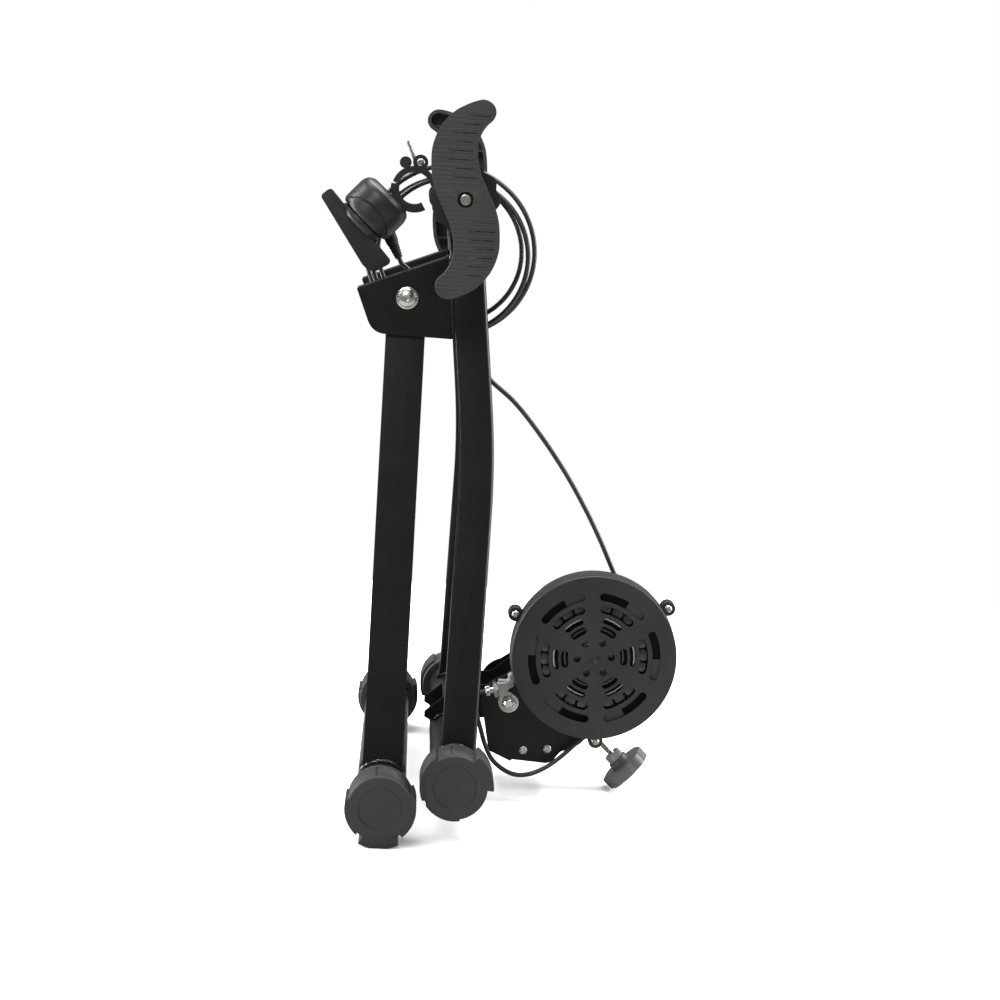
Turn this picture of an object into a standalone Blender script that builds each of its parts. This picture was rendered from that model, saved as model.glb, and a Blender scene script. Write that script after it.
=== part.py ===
"""Folding wheel-on bicycle trainer, folded flat, with its remote lever hung on the left spindle.

Sizes are in millimetres and become metres where meshes are made. X runs from the front floor tube to the
resistance unit, Y runs across with the left side at -Y, and Z is the height above the floor.
"""
import math

import bmesh
import bpy
from mathutils import Matrix, Vector

MM = 0.001
GAP = 0.3
SIDES = (("left", -1), ("right", 1))

# Overall: where the bottom centre of the trainer's box lies, from the front floor tube
CENTRE_X = 85.04

# Floor tubes and their foot caps
TUBE_WALL = 2.0
FRONT_TUBE = (0.0, 31.5)
FRONT_TUBE_RADIUS = 20.0
FRONT_CAP_FACE = 240.0
REAR_TUBE = (58.0, 48.3)
REAR_TUBE_RADIUS = 19.5
REAR_CAP_FACE = 228.0
FRONT_CAP_WALL = 6.0
REAR_CAP_WALL = 6.5
CAP_LENGTH = 45.0
CAP_END_WALL = 4.0
SOLE_CORNER_RISE = 1.7

# Legs: rectangular tube, leaning in towards the wheel
LEG_DEPTH = 25.0
FRONT_LEG_WIDTH = 32.0
FRONT_LEG_FOOT_Y = 153.7
HINGE = (2.0, 423.7)
HINGE_Y = 86.0
REAR_LEG_WIDTH = 28.0
REAR_LEG_KNEE = (65.8, 296.5)
REAR_LEG_FOOT_X = 60.6
REAR_LEG_FOOT_Y = 156.6
REAR_LEG_TOP_Y = 84.8
KNEE_TANGENT = 43.0
LEG_EDGE = 4.0

# Hinge bracket: a folded channel on the rear leg, web on top
BRACKET_WALL = 2.2
BRACKET_ROOM = 10.8
BRACKET_INNER = LEG_DEPTH + BRACKET_ROOM
BRACKET_OFFSET = 1.5
BRACKET_TIP = (-39.2, 429.4)
BRACKET_TOP_HEIGHT = 458.6
BRACKET_TOP_SETBACK = 0.487064
BRACKET_HEEL_HEIGHT = 391.9
BRACKET_HEEL_SETBACK = 0.364010
BRACKET_TOE = (-25.1, 393.8)
BRACKET_TOE_CUT = 11.0
HINGE_BOLT_RADIUS = 4.0
HINGE_HEAD_RADIUS = 9.2
HINGE_HEAD_HEIGHT = 5.5

# Wheel clamp
CLAMP = (44.2, 506.0)
SLEEVE_RADIUS = 16.0
SLEEVE_INNER_END = 75.5
SLEEVE_OUTER_END = 120.0
SPINDLE_RADIUS = 9.0
SPINDLE_INNER_END = 53.0
SPINDLE_OUTER_END = 158.0
CUP_RADIUS = 7.4
CUP_DEPTH = 6.0
LOCK_RING_RADIUS = 28.4
LOCK_RING_THICKNESS = 13.0
LOCK_RING_LOBES = 10
GRIP_INNER_FACE = 160.0
GRIP_THICKNESS = 18.0
GRIP_HUB_RADIUS = 17.5
GRIP_HUB_LENGTH = 20.0
GRIP_SCREW_RADIUS = 3.0
GRIP_SCREW_LENGTH = 32.0
GRIP_RECESS = (6.4, 5.0)
GRIP_TURN = {"left": 0.0, "right": 9.0}

# Saddle on the rear floor tube, and the unit's pivot
SADDLE_OUTER = 33.0
SADDLE_WALL = 3.0
PIVOT = (104.2, 81.0)
PIVOT_BOLT_RADIUS = 4.0
PIVOT_COLLAR_RADIUS = 9.0
TRUNNION = (118.5, 107.0)
TRUNNION_RADIUS = 9.0
TRUNNION_PIN_RADIUS = 4.0

# Resistance unit
UNIT_PLATE_OUTER = 42.0
UNIT_PLATE_WALL = 3.0
ROLLER = (172.0, 130.5)
ROLLER_RADIUS = 16.0
ROLLER_HALF_LENGTH = 30.0
SHAFT_RADIUS = 6.0
BEARING_RADIUS = 14.0
BEARING_WIDTH = 8.0
BEARING_BOSS_RADIUS = 18.0
BEARING_BOSS = (34.0, 43.2)
FLYWHEEL_RADIUS = 44.0
FLYWHEEL = (46.0, 60.0)
UNIT_TILT = 4.7

# Brake housing, measured out from the mid-plane on the left side
HOUSING_RADIUS = 70.0
HOUSING_WALL = 2.5
HOUSING_BACK = 56.0
HOUSING_JOINT = 66.0
HOUSING_FRONT = 86.0
LOBE_FACE = 71.0
LOBE_STEP = 0.2
LOBE_RADIUS = 6.2
LOBE_RISE = 4.0
HUB_RADIUS = 25.0
CARRIER = (76.5, 80.5)
CARRIER_RIM_GAP = 0.4
CARRIER_BORE = 21.0
MAGNET_INSET = 19.0
MAGNET_RADIUS = 8.0
MAGNET_COUNT = 12
ROTOR = (70.5, 72.5)
ROTOR_INSET = 13.0
HOUSING_STEPS = 36

# Tension screw, from the trunnion down to the knob
TENSION_AXIS = (0.725, 0.0, -0.689)
TENSION_RADIUS = 3.0
KNOB_START = 116.4
KNOB_FACE = 122.3
KNOB_THICKNESS = 9.8
KNOB_RADIUS = 21.6
KNOB_LOBES = 8
CROSSPLATE_AT = 67.2

# Remote lever and its band
SHIFTER_FACE = (-36.9, -70.0, 483.4)
SHIFTER_AXIS = (0.68, 0.0, 0.733)
SHIFTER_RADIUS = 24.5
SHIFTER_LENGTH = 31.0
LEVER_WIDTH = 24.0
LEVER_SECTION = ((-10.7, -39.2, 3.0), (-0.6, -38.0, 3.0), (-7.3, 40.5, 4.0), (-23.7, 36.0, 4.0),
                 (-26.1, 26.8, 4.0))
BAND_CENTRE = (3.5, 511.5)
BAND_BORE = 12.5
BAND_RADIUS = 18.0
BAND_WIDTH = 12.0

# Cable
CABLE_RADIUS = 2.0
COIL_CENTRE = (34.5, 460.0)
COIL_INNER = 56.5
COIL_OUTER = 72.0
COIL_TURNS = 3.0
COIL_LAYER_STEP = 4.8
COIL_HANG_Y = -63.5
COIL_SLANT = 0.51
COIL_STEPS_PER_TURN = 24
CABLE_STEP = 11.5
LEAD_STEP = 8.0


def new_collection(name):
    collection = bpy.data.collections.new(name)
    bpy.context.scene.collection.children.link(collection)
    return collection


def clear_scene():
    for item in list(bpy.data.objects):
        bpy.data.objects.remove(item)


clear_scene()
PARTS = new_collection("wheel_on_bike_trainer")
CUTTERS = new_collection("cutters")


def empty_at(name, location, parent=None):
    empty = bpy.data.objects.new(name, None)
    PARTS.objects.link(empty)
    empty.location = Vector(location) * MM
    empty.parent = parent
    empty.empty_display_size = 0.02
    return empty


TRAINER = empty_at("trainer_origin", (-CENTRE_X, 0, 0))


def carry(pivot, *pieces):
    """Hang pieces on a joint's empty without moving them."""
    for piece in pieces:
        piece.parent = pivot
        piece.matrix_parent_inverse = pivot.matrix_basis.inverted()


def add_piece(name, data):
    piece = bpy.data.objects.new(name, data)
    PARTS.objects.link(piece)
    piece.parent = TRAINER
    return piece


def clean(mesh):
    """Weld loose caps and turn every face outwards."""
    form = bmesh.new()
    form.from_mesh(mesh)
    bmesh.ops.remove_doubles(form, verts=form.verts, dist=0.001 * MM)
    bmesh.ops.dissolve_degenerate(form, edges=form.edges, dist=0.0001 * MM)
    bmesh.ops.recalc_face_normals(form, faces=form.faces)
    form.to_mesh(mesh)
    form.free()


def meshed(source):
    """Turn a curve or a modified object into a welded mesh in the trainer's frame."""
    bpy.context.view_layer.update()
    graph = bpy.context.evaluated_depsgraph_get()
    mesh = bpy.data.meshes.new_from_object(source.evaluated_get(graph))
    mesh.transform(source.matrix_basis)
    clean(mesh)
    name = source.name
    bpy.data.objects.remove(source)
    return add_piece(name, mesh)


def facing(axis, spin=0.0):
    """Rotation that takes local Z to the axis, after a spin about it in degrees."""
    turn = Vector(axis).to_track_quat("Z", "Y").to_matrix().to_4x4()
    return turn @ Matrix.Rotation(math.radians(spin), 4, "Z")


def filled_curve(name, loops, depth):
    """Flat closed outlines, inner ones being openings, extruded to the given depth."""
    curve = bpy.data.curves.new(name, "CURVE")
    curve.dimensions = "2D"
    curve.fill_mode = "BOTH"
    curve.extrude = depth / 2 * MM
    for loop in loops:
        spline = curve.splines.new("POLY")
        spline.points.add(len(loop) - 1)
        spline.use_cyclic_u = True
        for point, (u, v) in zip(spline.points, loop):
            point.co = (u * MM, v * MM, 0, 1)
    return add_piece(name, curve)


def prism(name, loops, y_from, y_to):
    """Outlines of (x, z) points, extruded between two planes across the trainer."""
    piece = filled_curve(name, loops, abs(y_to - y_from))
    piece.rotation_euler.x = math.pi / 2
    piece.location.y = (y_from + y_to) / 2 * MM
    bpy.context.view_layer.update()
    return meshed(piece)


def plate(name, loops, start, axis, depth, spin=0.0):
    """Outlines extruded along any axis from the start point."""
    piece = filled_curve(name, loops, depth)
    middle = Vector(start) + Vector(axis).normalized() * depth / 2
    piece.matrix_basis = Matrix.Translation(middle * MM) @ facing(axis, spin)
    bpy.context.view_layer.update()
    return meshed(piece)


def turned(name, profile, start, axis, ring=False, steps=32):
    """Revolve (radius, height) points; the heights run along the axis from the start point."""
    mesh = bpy.data.meshes.new(name)
    points = [(radius * MM, 0, height * MM) for radius, height in profile]
    edges = [(index, index + 1) for index in range(len(points) - 1)]
    if ring:
        edges.append((len(points) - 1, 0))
    mesh.from_pydata(points, edges, [])
    piece = add_piece(name, mesh)
    screw = piece.modifiers.new("turn", "SCREW")
    screw.steps = steps
    screw.render_steps = steps
    screw.use_merge_vertices = True
    screw.merge_threshold = 0.001 * MM
    piece.matrix_basis = Matrix.Translation(Vector(start) * MM) @ facing(axis)
    return meshed(piece)


def rod(name, start, end, radius, steps=24, end_radius=None):
    """A cylinder or cone between two points."""
    start = Vector(start)
    end = Vector(end)
    form = bmesh.new()
    far_radius = radius if end_radius is None else end_radius
    bmesh.ops.create_cone(form, cap_ends=True, segments=steps, radius1=radius * MM,
                          radius2=far_radius * MM, depth=(end - start).length * MM)
    mesh = bpy.data.meshes.new(name)
    form.to_mesh(mesh)
    form.free()
    mesh.transform(Matrix.Translation((start + end) / 2 * MM) @ facing(end - start))
    return add_piece(name, mesh)


def cross_rod(name, centre, y_from, y_to, radius, steps=32):
    """A cylinder that lies across the trainer."""
    return rod(name, (centre[0], y_from, centre[1]), (centre[0], y_to, centre[1]), radius, steps)


def tube(name, points, radius, resolution):
    """A round cord through the given points, with closed ends."""
    curve = bpy.data.curves.new(name, "CURVE")
    curve.dimensions = "3D"
    curve.bevel_depth = radius * MM
    curve.bevel_resolution = resolution
    curve.use_fill_caps = True
    spline = curve.splines.new("POLY")
    spline.points.add(len(points) - 1)
    for point, place in zip(spline.points, points):
        point.co = (*(Vector(place) * MM), 1)
    return meshed(add_piece(name, curve))


def boolean(piece, tool, operation):
    step = piece.modifiers.new(operation.lower(), "BOOLEAN")
    step.operation = operation
    step.solver = "EXACT"
    step.object = tool
    if tool.name in PARTS.objects:
        PARTS.objects.unlink(tool)
        CUTTERS.objects.link(tool)
    tool.hide_render = True
    tool.display_type = "WIRE"


def cut(piece, *tools):
    for tool in tools:
        boolean(piece, tool, "DIFFERENCE")


def fuse(piece, *tools):
    for tool in tools:
        boolean(piece, tool, "UNION")


def round_edges(piece, width, segments=2, angle=40.0):
    bevel = piece.modifiers.new("rounded", "BEVEL")
    bevel.width = width * MM
    bevel.segments = segments
    bevel.limit_method = "ANGLE"
    bevel.angle_limit = math.radians(angle)


def lean(piece, side, y_at, z_at, slope):
    """Shear a piece so that it leans in towards the mid-plane as it rises."""
    shear = Matrix.Identity(4)
    shear[1][2] = -side * slope
    shear[1][3] = side * (y_at + slope * z_at) * MM
    piece.data.transform(shear)


def finish(piece, colour, roughness, metallic):
    """Give a piece its own material and smooth its round faces."""
    material = bpy.data.materials.new(piece.name + "_finish")
    material.use_nodes = True
    shader = material.node_tree.nodes["Principled BSDF"]
    shader.inputs["Base Color"].default_value = (*colour, 1.0)
    shader.inputs["Roughness"].default_value = roughness
    shader.inputs["Metallic"].default_value = metallic
    piece.data.materials.clear()
    piece.data.materials.append(material)
    piece.data.shade_smooth()
    piece.data.set_sharp_from_angle(angle=math.radians(35))
    return piece


def black_paint(piece):
    return finish(piece, (0.012, 0.012, 0.013), 0.38, 0.0)


def black_plastic(piece):
    return finish(piece, (0.022, 0.022, 0.023), 0.55, 0.0)


def grey_plastic(piece):
    return finish(piece, (0.045, 0.045, 0.047), 0.5, 0.0)


def bright_steel(piece):
    return finish(piece, (0.62, 0.62, 0.6), 0.24, 1.0)


def dull_metal(piece):
    return finish(piece, (0.4, 0.4, 0.41), 0.42, 1.0)


def arc(centre, radius, start, end, steps):
    """Points on an arc, with angles in degrees from +X towards +Z."""
    angles = [math.radians(start + (end - start) * index / steps) for index in range(steps + 1)]
    return [(centre[0] + radius * math.cos(a), centre[1] + radius * math.sin(a)) for a in angles]


def circle(radius, steps=24, centre=(0.0, 0.0)):
    return arc(centre, radius, 0, 360, steps)[:-1]


def hexagon(across_flats):
    return circle(across_flats / math.sqrt(3), 6)


def rounded(corners, steps=4):
    """A closed outline of (x, z, cut) corners, each rounded over its cut length."""
    outline = []
    for index, (x, z, length) in enumerate(corners):
        here = Vector((x, z))
        if not length:
            outline.append((x, z))
            continue
        before = Vector(corners[index - 1][:2])
        after = Vector(corners[(index + 1) % len(corners)][:2])
        start = here + (before - here).normalized() * length
        end = here + (after - here).normalized() * length
        for step in range(steps + 1):
            t = step / steps
            point = start * (1 - t) ** 2 + here * 2 * t * (1 - t) + end * t ** 2
            outline.append((point.x, point.y))
    return outline


def spline_through(points, steps, closed=False):
    """Points read from a smooth curve through the given ones, in two or three dimensions."""
    vectors = [Vector(point) for point in points]
    count = len(vectors)
    if closed:
        ring = [vectors[-1], *vectors, vectors[0], vectors[1]]
        spans = count
    else:
        ring = [vectors[0] * 2 - vectors[1], *vectors, vectors[-1] * 2 - vectors[-2]]
        spans = count - 1
    result = []
    for span in range(spans):
        a, b, c, d = ring[span:span + 4]
        for step in range(steps):
            t = step / steps
            result.append(0.5 * (b * 2 + (c - a) * t + (a * 2 - b * 5 + c * 4 - d) * t * t
                                 + (b * 3 - a - c * 3 + d) * t ** 3))
    if not closed:
        result.append(vectors[-1])
    return result


def evenly_spaced(points, spacing):
    """Read points at equal steps along a finely divided route, keeping both ends."""
    lengths = [0.0]
    for before, after in zip(points, points[1:]):
        lengths.append(lengths[-1] + (after - before).length)
    count = round(lengths[-1] / spacing)
    result = []
    index = 0
    for number in range(count + 1):
        target = lengths[-1] * number / count
        while index < len(points) - 2 and lengths[index + 1] < target:
            index += 1
        share = (target - lengths[index]) / (lengths[index + 1] - lengths[index])
        result.append(points[index].lerp(points[index + 1], share))
    return result


# Frame

def floor_tube(name, centre, radius, cap_face):
    half = cap_face - CAP_END_WALL - GAP
    profile = ((radius, -half), (radius, half), (radius - TUBE_WALL, half), (radius - TUBE_WALL, -half))
    return black_paint(turned(name, profile, (centre[0], 0, centre[1]), (0, 1, 0), ring=True))


def lobe_arc(centre, start, end, radius, flat):
    """Edge of one levelling lobe; a flat one has a chord at that distance below its middle."""
    if not flat:
        return arc(centre, radius, start, end, max(2, round((end - start) / 9)))
    half = math.degrees(math.acos(flat / radius))
    middle = (start + end) / 2
    return arc(centre, radius, start, middle - half, 2) + arc(centre, radius, middle + half, end, 2)


def lobes_outline(centre, lobes, cap_radius):
    """Lobes in order of angle, with a plain rim inside the cap's wall between them."""
    outline = []
    for index, (start, end, radius, flat) in enumerate(lobes):
        outline += lobe_arc(centre, start, end, radius, flat)
        next_start = lobes[(index + 1) % len(lobes)][0]
        if next_start <= end:
            next_start += 360
        steps = max(1, round((next_start - end) / 12))
        outline += arc(centre, cap_radius - 2, end, next_start, steps)
    return outline


def foot_cap(name, side, centre, tube_radius, radius, face, lobes, depth_range):
    """Turned cup with raised levelling lobes round its rim."""
    x, z = centre
    rear = face - CAP_LENGTH
    profile = ((0, face), (radius - 3, face), (radius, face - 3), (radius, rear + 1),
               (radius - 1, rear), (tube_radius + GAP, rear),
               (tube_radius + GAP, face - CAP_END_WALL), (0, face - CAP_END_WALL))
    cap = turned(name, profile, (x, 0, z), (0, side, 0), steps=28)
    inside = circle(radius - 3.0, 16, centre)
    raised = prism(name + "_lobes", [lobes_outline(centre, lobes, radius), inside],
                   side * (face - depth_range[0]), side * (face - depth_range[1]))
    fuse(cap, raised)
    return black_plastic(cap)


def foot_caps():
    """Two caps to a tube; the lobe under each front cap is cut flat at the floor."""
    sole = FRONT_TUBE[1]
    front_radius = FRONT_TUBE_RADIUS + FRONT_CAP_WALL
    rear_radius = REAR_TUBE_RADIUS + REAR_CAP_WALL
    front_lobes = ((-119, -61, sole + SOLE_CORNER_RISE, sole), (-45, 37, front_radius + 3.6, None),
                   (150, 195, front_radius + 2, None))
    rear_lobes = ((-30, 35, rear_radius + 4.4, None), (100, 160, rear_radius + 2, None))
    for name, side in SIDES:
        front = foot_cap(name + "_front_cap", side, FRONT_TUBE, FRONT_TUBE_RADIUS, front_radius,
                         FRONT_CAP_FACE, front_lobes, (9.0, 36.0))
        carry(FRONT_CAP_JOINT, front)
        rear = foot_cap(name + "_rear_cap", side, REAR_TUBE, REAR_TUBE_RADIUS, rear_radius,
                        REAR_CAP_FACE, rear_lobes, (14.0, 40.0))
        carry(REAR_CAP_JOINT, rear)


def front_leg(name, side):
    """Straight leg, cut to the floor tube below and rounded about the hinge bolt above."""
    foot = Vector(FRONT_TUBE)
    top = Vector(HINGE)
    along = (top - foot).normalized()
    across = Vector((along.y, -along.x)) * FRONT_LEG_WIDTH / 2
    heading = math.degrees(math.atan2(along.y, along.x))
    outline = [tuple(foot - across), tuple(foot + across)]
    outline += arc(HINGE, FRONT_LEG_WIDTH / 2, heading - 90, heading + 90, 12)
    leg = prism(name, [outline], -LEG_DEPTH / 2, LEG_DEPTH / 2)
    slope = (FRONT_LEG_FOOT_Y - HINGE_Y) / (HINGE[1] - FRONT_TUBE[1])
    lean(leg, side, HINGE_Y, HINGE[1], slope)
    round_edges(leg, LEG_EDGE)
    cut(leg, cross_rod(name + "_saddle", FRONT_TUBE, side * 90, side * 200, FRONT_TUBE_RADIUS + GAP),
        cross_rod(name + "_bolt_hole", HINGE, side * 50, side * 130, HINGE_BOLT_RADIUS + GAP, 20))
    return black_paint(leg)


def rear_leg_path():
    """Centreline of the rear leg in the (x, z) plane, with its gentle bend."""
    foot = Vector((REAR_LEG_FOOT_X, REAR_TUBE[1]))
    knee = Vector(REAR_LEG_KNEE)
    top = Vector(CLAMP)
    start = knee + (foot - knee).normalized() * KNEE_TANGENT
    end = knee + (top - knee).normalized() * KNEE_TANGENT
    bend = [start.lerp(knee, t).lerp(knee.lerp(end, t), t) for t in (0, 0.2, 0.4, 0.6, 0.8, 1)]
    return [foot, *bend, top]


def ribbon(path, half_width):
    """Closed outline on both sides of a centreline."""
    right = []
    left = []
    for index, point in enumerate(path):
        before = path[max(index - 1, 0)]
        after = path[min(index + 1, len(path) - 1)]
        along = (after - before).normalized()
        across = Vector((along.y, -along.x)) * half_width
        right.append(tuple(point + across))
        left.append(tuple(point - across))
    return right + left[::-1]


def rear_leg_form(name, side, grow=0.0):
    half_depth = LEG_DEPTH / 2 + grow
    leg = prism(name, [ribbon(rear_leg_path(), REAR_LEG_WIDTH / 2 + grow)], -half_depth, half_depth)
    slope = (REAR_LEG_FOOT_Y - REAR_LEG_TOP_Y) / (CLAMP[1] - REAR_TUBE[1])
    lean(leg, side, REAR_LEG_TOP_Y, CLAMP[1], slope)
    return leg


def rear_leg(name, side):
    leg = rear_leg_form(name, side)
    round_edges(leg, LEG_EDGE)
    cut(leg, cross_rod(name + "_saddle", REAR_TUBE, side * 90, side * 200, REAR_TUBE_RADIUS + GAP),
        cross_rod(name + "_sleeve_seat", CLAMP, side * 50, side * 130, SLEEVE_RADIUS + GAP))
    return black_paint(leg)


def inner_corner(before, corner, after, inset):
    """Point inside a corner at the same distance from both of its edges."""
    one = (Vector(before) - Vector(corner)).normalized()
    two = (Vector(after) - Vector(corner)).normalized()
    spread = abs(one.x * two.y - one.y * two.x)
    return Vector(corner) + (one + two) * inset / spread, one, two


def leg_front(height, setback):
    """A point a little in front of the rear leg, above the leg's bend."""
    share = (height - REAR_LEG_KNEE[1]) / (CLAMP[1] - REAR_LEG_KNEE[1])
    middle = REAR_LEG_KNEE[0] + (CLAMP[0] - REAR_LEG_KNEE[0]) * share
    return (middle - REAR_LEG_WIDTH / 2 - setback, height)


def hinge_bracket(name, side):
    """Folded channel: web above, back wall against the rear leg, open below and in front."""
    top = leg_front(BRACKET_TOP_HEIGHT, BRACKET_TOP_SETBACK)
    heel = leg_front(BRACKET_HEEL_HEIGHT, BRACKET_HEEL_SETBACK)
    outline = rounded([(*BRACKET_TIP, 0), (*top, 3), (*heel, 3), (*BRACKET_TOE, BRACKET_TOE_CUT)])
    middle = HINGE_Y + BRACKET_OFFSET
    half = BRACKET_INNER / 2
    bracket = prism(name, [outline], side * (middle - half - BRACKET_WALL),
                    side * (middle + half + BRACKET_WALL))
    corner, to_tip, to_heel = inner_corner(BRACKET_TIP, top, heel, BRACKET_WALL)
    reach = 120.0
    room = [corner, corner + to_heel * reach, corner + (to_heel + to_tip) * reach,
            corner + to_tip * reach]
    cut(bracket,
        prism(name + "_room", [[tuple(point) for point in room]], side * (middle - half),
              side * (middle + half)),
        rear_leg_form(name + "_leg_clearance", side, GAP),
        cross_rod(name + "_bolt_hole", HINGE, side * 50, side * 130, HINGE_BOLT_RADIUS + GAP, 20))
    return black_paint(bracket)


def hinge_bolt(name, side):
    """Domed bolt, head outside."""
    face = HINGE_Y + BRACKET_OFFSET + BRACKET_INNER / 2 + BRACKET_WALL + GAP
    end = HINGE_Y + BRACKET_OFFSET - BRACKET_INNER / 2 - BRACKET_WALL - 10
    dome = arc((0, face + 1.2), HINGE_HEAD_RADIUS, 0, 90, 4)
    squash = (HINGE_HEAD_HEIGHT - 1.2) / HINGE_HEAD_RADIUS
    dome = [(r, face + 1.2 + (h - face - 1.2) * squash) for r, h in dome]
    profile = [(0, end), (HINGE_BOLT_RADIUS, end), (HINGE_BOLT_RADIUS, face), (HINGE_HEAD_RADIUS, face),
               *dome[:-1], (0, face + HINGE_HEAD_HEIGHT)]
    return bright_steel(turned(name, profile, (HINGE[0], 0, HINGE[1]), (0, side, 0), steps=20))


def hinge_nut(name, side):
    face = HINGE_Y + BRACKET_OFFSET - BRACKET_INNER / 2 - BRACKET_WALL - GAP
    loops = [hexagon(13.0), circle(HINGE_BOLT_RADIUS + GAP, 20)]
    start = (HINGE[0], side * face, HINGE[1])
    return bright_steel(plate(name, loops, start, (0, -side, 0), 6.5))


def clamp_sleeve(name, side):
    """Guide tube of the spindle, welded on the rear leg's top."""
    bore = SPINDLE_RADIUS + GAP
    profile = ((SLEEVE_RADIUS, SLEEVE_INNER_END), (SLEEVE_RADIUS, SLEEVE_OUTER_END),
               (bore, SLEEVE_OUTER_END), (bore, SLEEVE_INNER_END))
    return black_paint(turned(name, profile, (CLAMP[0], 0, CLAMP[1]), (0, side, 0), ring=True))


# Wheel clamp

def spindle(name, side):
    """Screwed bar with a conical cup in its inner end and a screw hole in its outer end."""
    hole = GRIP_SCREW_RADIUS + GAP
    hole_end = GRIP_INNER_FACE + GRIP_THICKNESS - GRIP_RECESS[1] - GRIP_SCREW_LENGTH - 1
    profile = ((0, SPINDLE_INNER_END + CUP_DEPTH), (2.0, SPINDLE_INNER_END + CUP_DEPTH),
               (CUP_RADIUS, SPINDLE_INNER_END), (SPINDLE_RADIUS, SPINDLE_INNER_END),
               (SPINDLE_RADIUS, SPINDLE_OUTER_END), (hole, SPINDLE_OUTER_END), (hole, hole_end),
               (0, hole_end))
    return dull_metal(turned(name, profile, (CLAMP[0], 0, CLAMP[1]), (0, side, 0), steps=24))


def lobed_outline(radius, depth, lobes, steps_per_lobe=4):
    """A scalloped circle with rounded lobes."""
    count = lobes * steps_per_lobe
    outline = []
    for index in range(count):
        angle = 2 * math.pi * index / count
        reach = radius - depth * (0.5 - 0.5 * math.cos(lobes * angle)) ** 2
        outline.append((reach * math.cos(angle), reach * math.sin(angle)))
    return outline


def lock_ring(name, side):
    loops = [lobed_outline(LOCK_RING_RADIUS, 2.2, LOCK_RING_LOBES), circle(SPINDLE_RADIUS + GAP)]
    start = (CLAMP[0], side * (SLEEVE_OUTER_END + GAP), CLAMP[1])
    return black_plastic(plate(name, loops, start, (0, side, 0), LOCK_RING_THICKNESS))


GRIP_EDGE = ((19.0, 72.5), (10.5, 79.2), (-0.5, 74.6), (-12.0, 67.2), (-20.0, 58.8), (-26.2, 46.0),
             (-28.3, 30.0), (-26.8, 13.5), (-21.4, -0.8), (-15.4, -11.5), (-9.8, -24.8), (-6.7, -42.0),
             (-9.2, -53.0), (-15.0, -61.5), (-19.6, -68.0))


def grip_outline(turn):
    """S shape: one edge from tip to tip, and the same edge turned half round."""
    edge = [Vector(point) for point in GRIP_EDGE]
    edge = edge + [-point for point in edge]
    spin = Matrix.Rotation(math.radians(turn), 2)
    centre = Vector(CLAMP)
    return [tuple(centre + spin @ point) for point in spline_through(edge, 2, closed=True)]


def handle(name, side):
    """Moulded S grip with a hub over the spindle's end and a screw in its face."""
    outer = GRIP_INNER_FACE + GRIP_THICKNESS
    grip = prism(name, [grip_outline(GRIP_TURN[name.split("_")[0]])], side * GRIP_INNER_FACE,
                 side * outer)
    round_edges(grip, 2.4, 1)
    fuse(grip, cross_rod(name + "_hub", CLAMP, side * (GRIP_INNER_FACE - GRIP_HUB_LENGTH),
                         side * (GRIP_INNER_FACE + 2), GRIP_HUB_RADIUS))
    pocket_end = SPINDLE_OUTER_END + GAP
    cut(grip,
        cross_rod(name + "_pocket", CLAMP, side * (GRIP_INNER_FACE - GRIP_HUB_LENGTH - 5),
                  side * pocket_end, SPINDLE_RADIUS + GAP),
        cross_rod(name + "_screw_hole", CLAMP, side * (pocket_end - 3), side * (outer + 5),
                  GRIP_SCREW_RADIUS + GAP, 16),
        cross_rod(name + "_screw_recess", CLAMP, side * (outer - GRIP_RECESS[1]), side * (outer + 5),
                  GRIP_RECESS[0], 24))
    return black_plastic(grip)


def handle_screw(name, side):
    outer = GRIP_INNER_FACE + GRIP_THICKNESS
    seat = outer - GRIP_RECESS[1] + GAP
    head = GRIP_RECESS[0] - 0.8
    profile = ((0, seat - GRIP_SCREW_LENGTH), (GRIP_SCREW_RADIUS, seat - GRIP_SCREW_LENGTH),
               (GRIP_SCREW_RADIUS, seat), (head, seat), (head, seat + 1.6), (head - 1.6, seat + 3.0),
               (0, seat + 3.6))
    return bright_steel(turned(name, profile, (CLAMP[0], 0, CLAMP[1]), (0, side, 0), steps=20))


# Saddle and pivot

def unit_saddle():
    """Folded bracket over the rear floor tube: two cheeks, a top web, pivot collars and ears."""
    inner = SADDLE_OUTER - SADDLE_WALL
    ear = arc(TRUNNION, 11.0, 20, 175, 6)
    toe = arc(PIVOT, 14.0, -70, 0, 3)
    outline = [(39.3, 60.0), *toe, (118.5, 86.0), *ear, (90.2, 93.6), (80.0, 93.1), (48.2, 80.8),
               (33.0, 68.0), (33.0, 63.5)]
    cheeks = [prism(f"saddle_cheek_{name}", [outline], side * inner, side * SADDLE_OUTER)
              for name, side in SIDES]
    web = [(48.2, 80.8), (80.0, 93.1), (81.1, 90.3), (49.3, 78.0)]
    saddle = prism("unit_saddle", [web], -inner - 1, inner + 1)
    fuse(saddle, *cheeks)
    bushing = UNIT_PLATE_OUTER - UNIT_PLATE_WALL - GAP
    for name, side in SIDES:
        fuse(saddle, cross_rod(f"saddle_collar_{name}", PIVOT, side * (inner + 1), side * bushing,
                               PIVOT_COLLAR_RADIUS, 16))
    cut(saddle, cross_rod("saddle_tube_seat", REAR_TUBE, -50, 50, REAR_TUBE_RADIUS + GAP, 32),
        cross_rod("saddle_pivot_hole", PIVOT, -50, 50, PIVOT_BOLT_RADIUS + GAP, 12),
        cross_rod("saddle_trunnion_hole", TRUNNION, -50, 50, TRUNNION_PIN_RADIUS + GAP, 12))
    return black_paint(saddle)


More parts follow.
